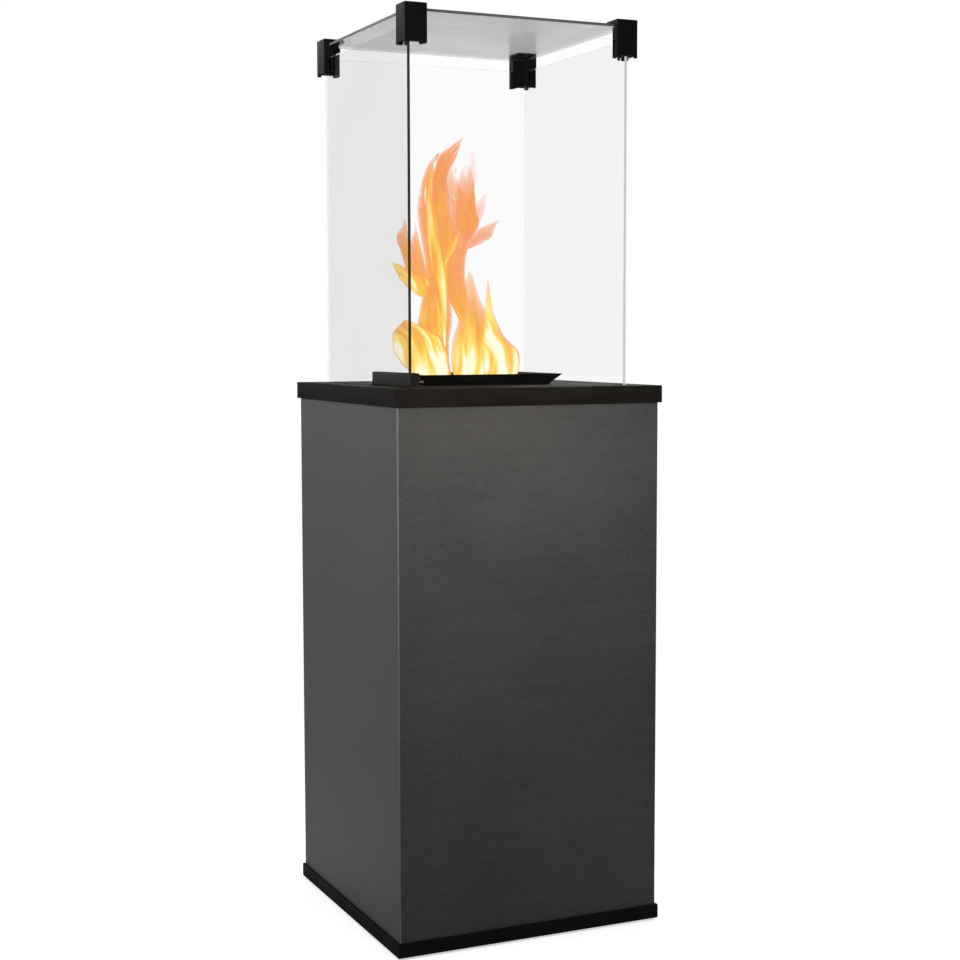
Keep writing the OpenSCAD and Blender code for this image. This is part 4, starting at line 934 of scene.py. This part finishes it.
# Gas is whole where a noise is above its range. Where the streaks' noise is below it,
# GAP_LEAST of the gas is left. Where the threads' noise is below it, none is left, and wear
# lowers that noise towards the tips.
GAP_RANGE, GAP_LEAST = (0.25, 0.5), 0.65
WHOLE_RANGE, WEAR = (0.1, 0.35), 0.27


def flame_material():
    """Glowing gas: a colour from its heat, and clear where the gas is thin. Edge-on gas fades
    over a wide rim where it is cool and over a narrow one where it is hot, and old cool gas
    breaks up into threads."""
    made = bpy.data.materials.new("fire")
    made.use_nodes = True
    tree = made.node_tree
    shader = tree.nodes["Principled BSDF"]
    read = {label: put(tree, "ShaderNodeAttribute", attribute_name=label).outputs
            for label in ("across", "warmth", "age", "cover", "flow")}
    warmth = read["warmth"]["Fac"]
    flow = read["flow"]["Vector"]
    streak = noise(tree, flow, STREAK_SCALE, 2.0)
    thread = noise(tree, flow, THREAD_SCALE, 2.0)
    edge_on = put(tree, "ShaderNodeLayerWeight", {"Blend": 0.5}).outputs["Facing"]
    rim = math_node(tree, "ABSOLUTE", read["across"]["Fac"])
    hot = between(tree, warmth, COOL, HOT)
    reach = between(tree, hot, 0.0, 1.0, STREAK_COOL, STREAK_HOT)
    streaks = math_node(tree, "MULTIPLY", spread(tree, streak, -1.0, 1.0), reach)
    heat = math_node(tree, "ADD", warmth, streaks)
    heat = math_node(tree, "ADD", heat, spread(tree, thread, -THREAD_HEAT, THREAD_HEAT))
    heat = math_node(tree, "SUBTRACT", heat, between(tree, rim, RIM_FROM, 1.0, 0.0, RIM_LOSS))
    loss = between(tree, edge_on, EDGE_FROM, EDGE_TO, 0.0, EDGE_LOSS)
    heat = math_node(tree, "SUBTRACT", heat, loss)
    ramp = put(tree, "ShaderNodeValToRGB", {"Fac": heat})
    stops = ramp.color_ramp.elements
    stops[0].color, stops[1].color = COOLEST, HOTTEST
    for at, colour in BETWEEN_COLOURS.items():
        stops.new(at).color = colour
    power = math_node(tree, "SUBTRACT", FADE_COOL, math_node(tree, "MULTIPLY", hot, FADE_LESS))
    thin = math_node(tree, "POWER", math_node(tree, "SUBTRACT", 1.0, edge_on), power)
    wear = math_node(tree, "MULTIPLY", math_node(tree, "POWER", read["age"]["Fac"], 3.0), WEAR)
    whole = math_node(tree, "SUBTRACT", thread, wear)
    gaps = math_node(tree, "MULTIPLY", between(tree, streak, *GAP_RANGE, GAP_LEAST, 1.0),
                     between(tree, whole, *WHOLE_RANGE))
    gaps = math_node(tree, "MAXIMUM", gaps, hot)
    alpha = math_node(tree, "MULTIPLY", math_node(tree, "MULTIPLY", thin, gaps),
                      read["cover"]["Fac"])
    tree.links.new(ramp.outputs["Color"], shader.inputs["Emission Color"])
    tree.links.new(alpha, shader.inputs["Alpha"])
    shader.inputs["Base Color"].default_value = (0, 0, 0, 1)
    shader.inputs["Emission Strength"].default_value = GLOW
    shader.inputs["Specular IOR Level"].default_value = 0.0
    shader.inputs["Roughness"].default_value = 1.0
    return made


fire = piece("fire", flame_mesh("fire"), [flame_material()], "cabinet")
print("fire faces:", len(fire.data.polygons))

# %% [markdown]
# ## Small parts behind the door
# The gas knob needs a mark to read its setting by: plain dots that grow with the flame,
# printed on the dial, and a pale line on the knob, which points at the first dot when the gas
# is off. They lie on the half of the dial that the knob turns over, towards +X. The pipe end
# of the inlet is cut with a thread. Dots and line are thin raised prints. The thread is one
# ridge swept along a helix: its section is a triangle that shrinks to nothing at both ends.

# %% Dial and knob marks
# The number of dots, the radius of the arc they lie on, and the least and the largest dot's.
DOTS, DOT_RING, DOT_SMALL, DOT_LARGE = 7, 0.0250, 0.0009, 0.0020
# The line's length and width, and how far the middle of its round inner end is from the
# knob's middle.
LINE_LONG, LINE_WIDE, LINE_FROM = 0.0085, 0.0016, 0.0045
# A print stands up by this much, and goes half as far into what it is printed on.
PRINT, SUNK = 0.0002, 0.5
mark_white = finish("mark_white", pebble_group, grey(0.55), grey(0.66), (0.5, 0.6), 10 * MICRON,
                    None, {"Pebbles per metre": 900.0})
dial_low, dial_high = (np.array(corner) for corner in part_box("dial_ring"))
dial_centre = (dial_low + dial_high) / 2
knob_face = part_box("control_knob")[1][1]


def raised_disc(centre, radius, sides=24):
    """Points of a flat print that faces +Y: rings from the middle of its back, out and round
    the rim, to the middle of its front."""
    a = np.linspace(0, 2 * np.pi, sides, endpoint=False)[None, :]
    reach = np.array([0.0, 1.0, 1.0, 0.0])[:, None] * radius
    out = np.array([-SUNK, -SUNK, 1.0, 1.0])[:, None] * PRINT + 0 * a
    return np.stack([centre[0] + reach * np.sin(a), centre[1] + out,
                     centre[2] + reach * np.cos(a)], axis=-1)


def print_mark(name, points, body):
    """A print as a piece of its own."""
    mesh = cleaned(surface(name, points, closed=True, smooth=False))
    piece(name, mesh, [mark_white], body)


for number in range(DOTS):
    share = number / (DOTS - 1)
    size = DOT_SMALL + (DOT_LARGE - DOT_SMALL) * share
    spot = [dial_centre[0] + DOT_RING * math.sin(math.pi * share), dial_high[1],
            dial_centre[2] + DOT_RING * math.cos(math.pi * share)]
    print_mark(f"dial_dot_{number}", raised_disc(spot, size), "cabinet")

stadium = raised_disc([0.0, 0.0, 0.0], LINE_WIDE / 2)
stadium[..., 2] += np.where(stadium[..., 2] > 0, LINE_LONG - LINE_WIDE, 0.0)
stadium += [dial_centre[0], knob_face, dial_centre[2] + LINE_FROM]
print_mark("knob_pointer", stadium, "knob")
print("dots:", DOTS, "knob face at y", round(knob_face, 4))

# %% Inlet thread
NIPPLE_RADIUS, THREAD_LONG, THREAD_PITCH, THREAD_RISE = 0.0066, 0.0125, 0.0018, 0.0005
# The ridge's root goes into the nipple by this share of its rise, and its foot is this share
# of the pitch to either side. Steps are per turn.
ROOT, FOOT, STEPS = 0.4, 0.42, 28
nipple_low, nipple_high = (np.array(corner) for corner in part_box("inlet_fitting"))
turns = THREAD_LONG / THREAD_PITCH


def thread(centre, foot):
    """A ridge along a helix: after t turns it has risen by t times the pitch. Each section is a
    triangle, whose size grows from nothing over the first turn and shrinks over the last."""
    t = np.linspace(0, turns, int(turns * STEPS))[:, None]
    grow = np.clip(np.minimum(t, turns - t), 0, 1)
    reach = NIPPLE_RADIUS + grow * THREAD_RISE * np.array([-ROOT, 1.0, -ROOT])[None, :]
    rise = THREAD_PITCH * (t + FOOT * grow * np.array([-1.0, 0.0, 1.0])[None, :])
    a = 2 * np.pi * t
    return np.stack([centre[0] + reach * np.cos(a), centre[1] + reach * np.sin(a),
                     foot + rise], axis=-1)


middle = (nipple_low + nipple_high) / 2
ridge = cleaned(surface("inlet_thread", thread(middle, nipple_low[2] + THREAD_PITCH),
                        closed=True))
piece("inlet_thread", ridge, [brass], "cabinet")
print("thread turns:", round(turns, 1), "faces:", len(ridge.polygons))

# %% [markdown]
# ## The sizes
# The box of the imported model and the box of the visual model, printed side by side.
# The visual model must stay inside the imported one.

# %% Sizes
size = {"cad": [list(map(float, c)) for c in cad_bounds],
        "visual": [list(map(float, c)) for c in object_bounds()]}
print(size)
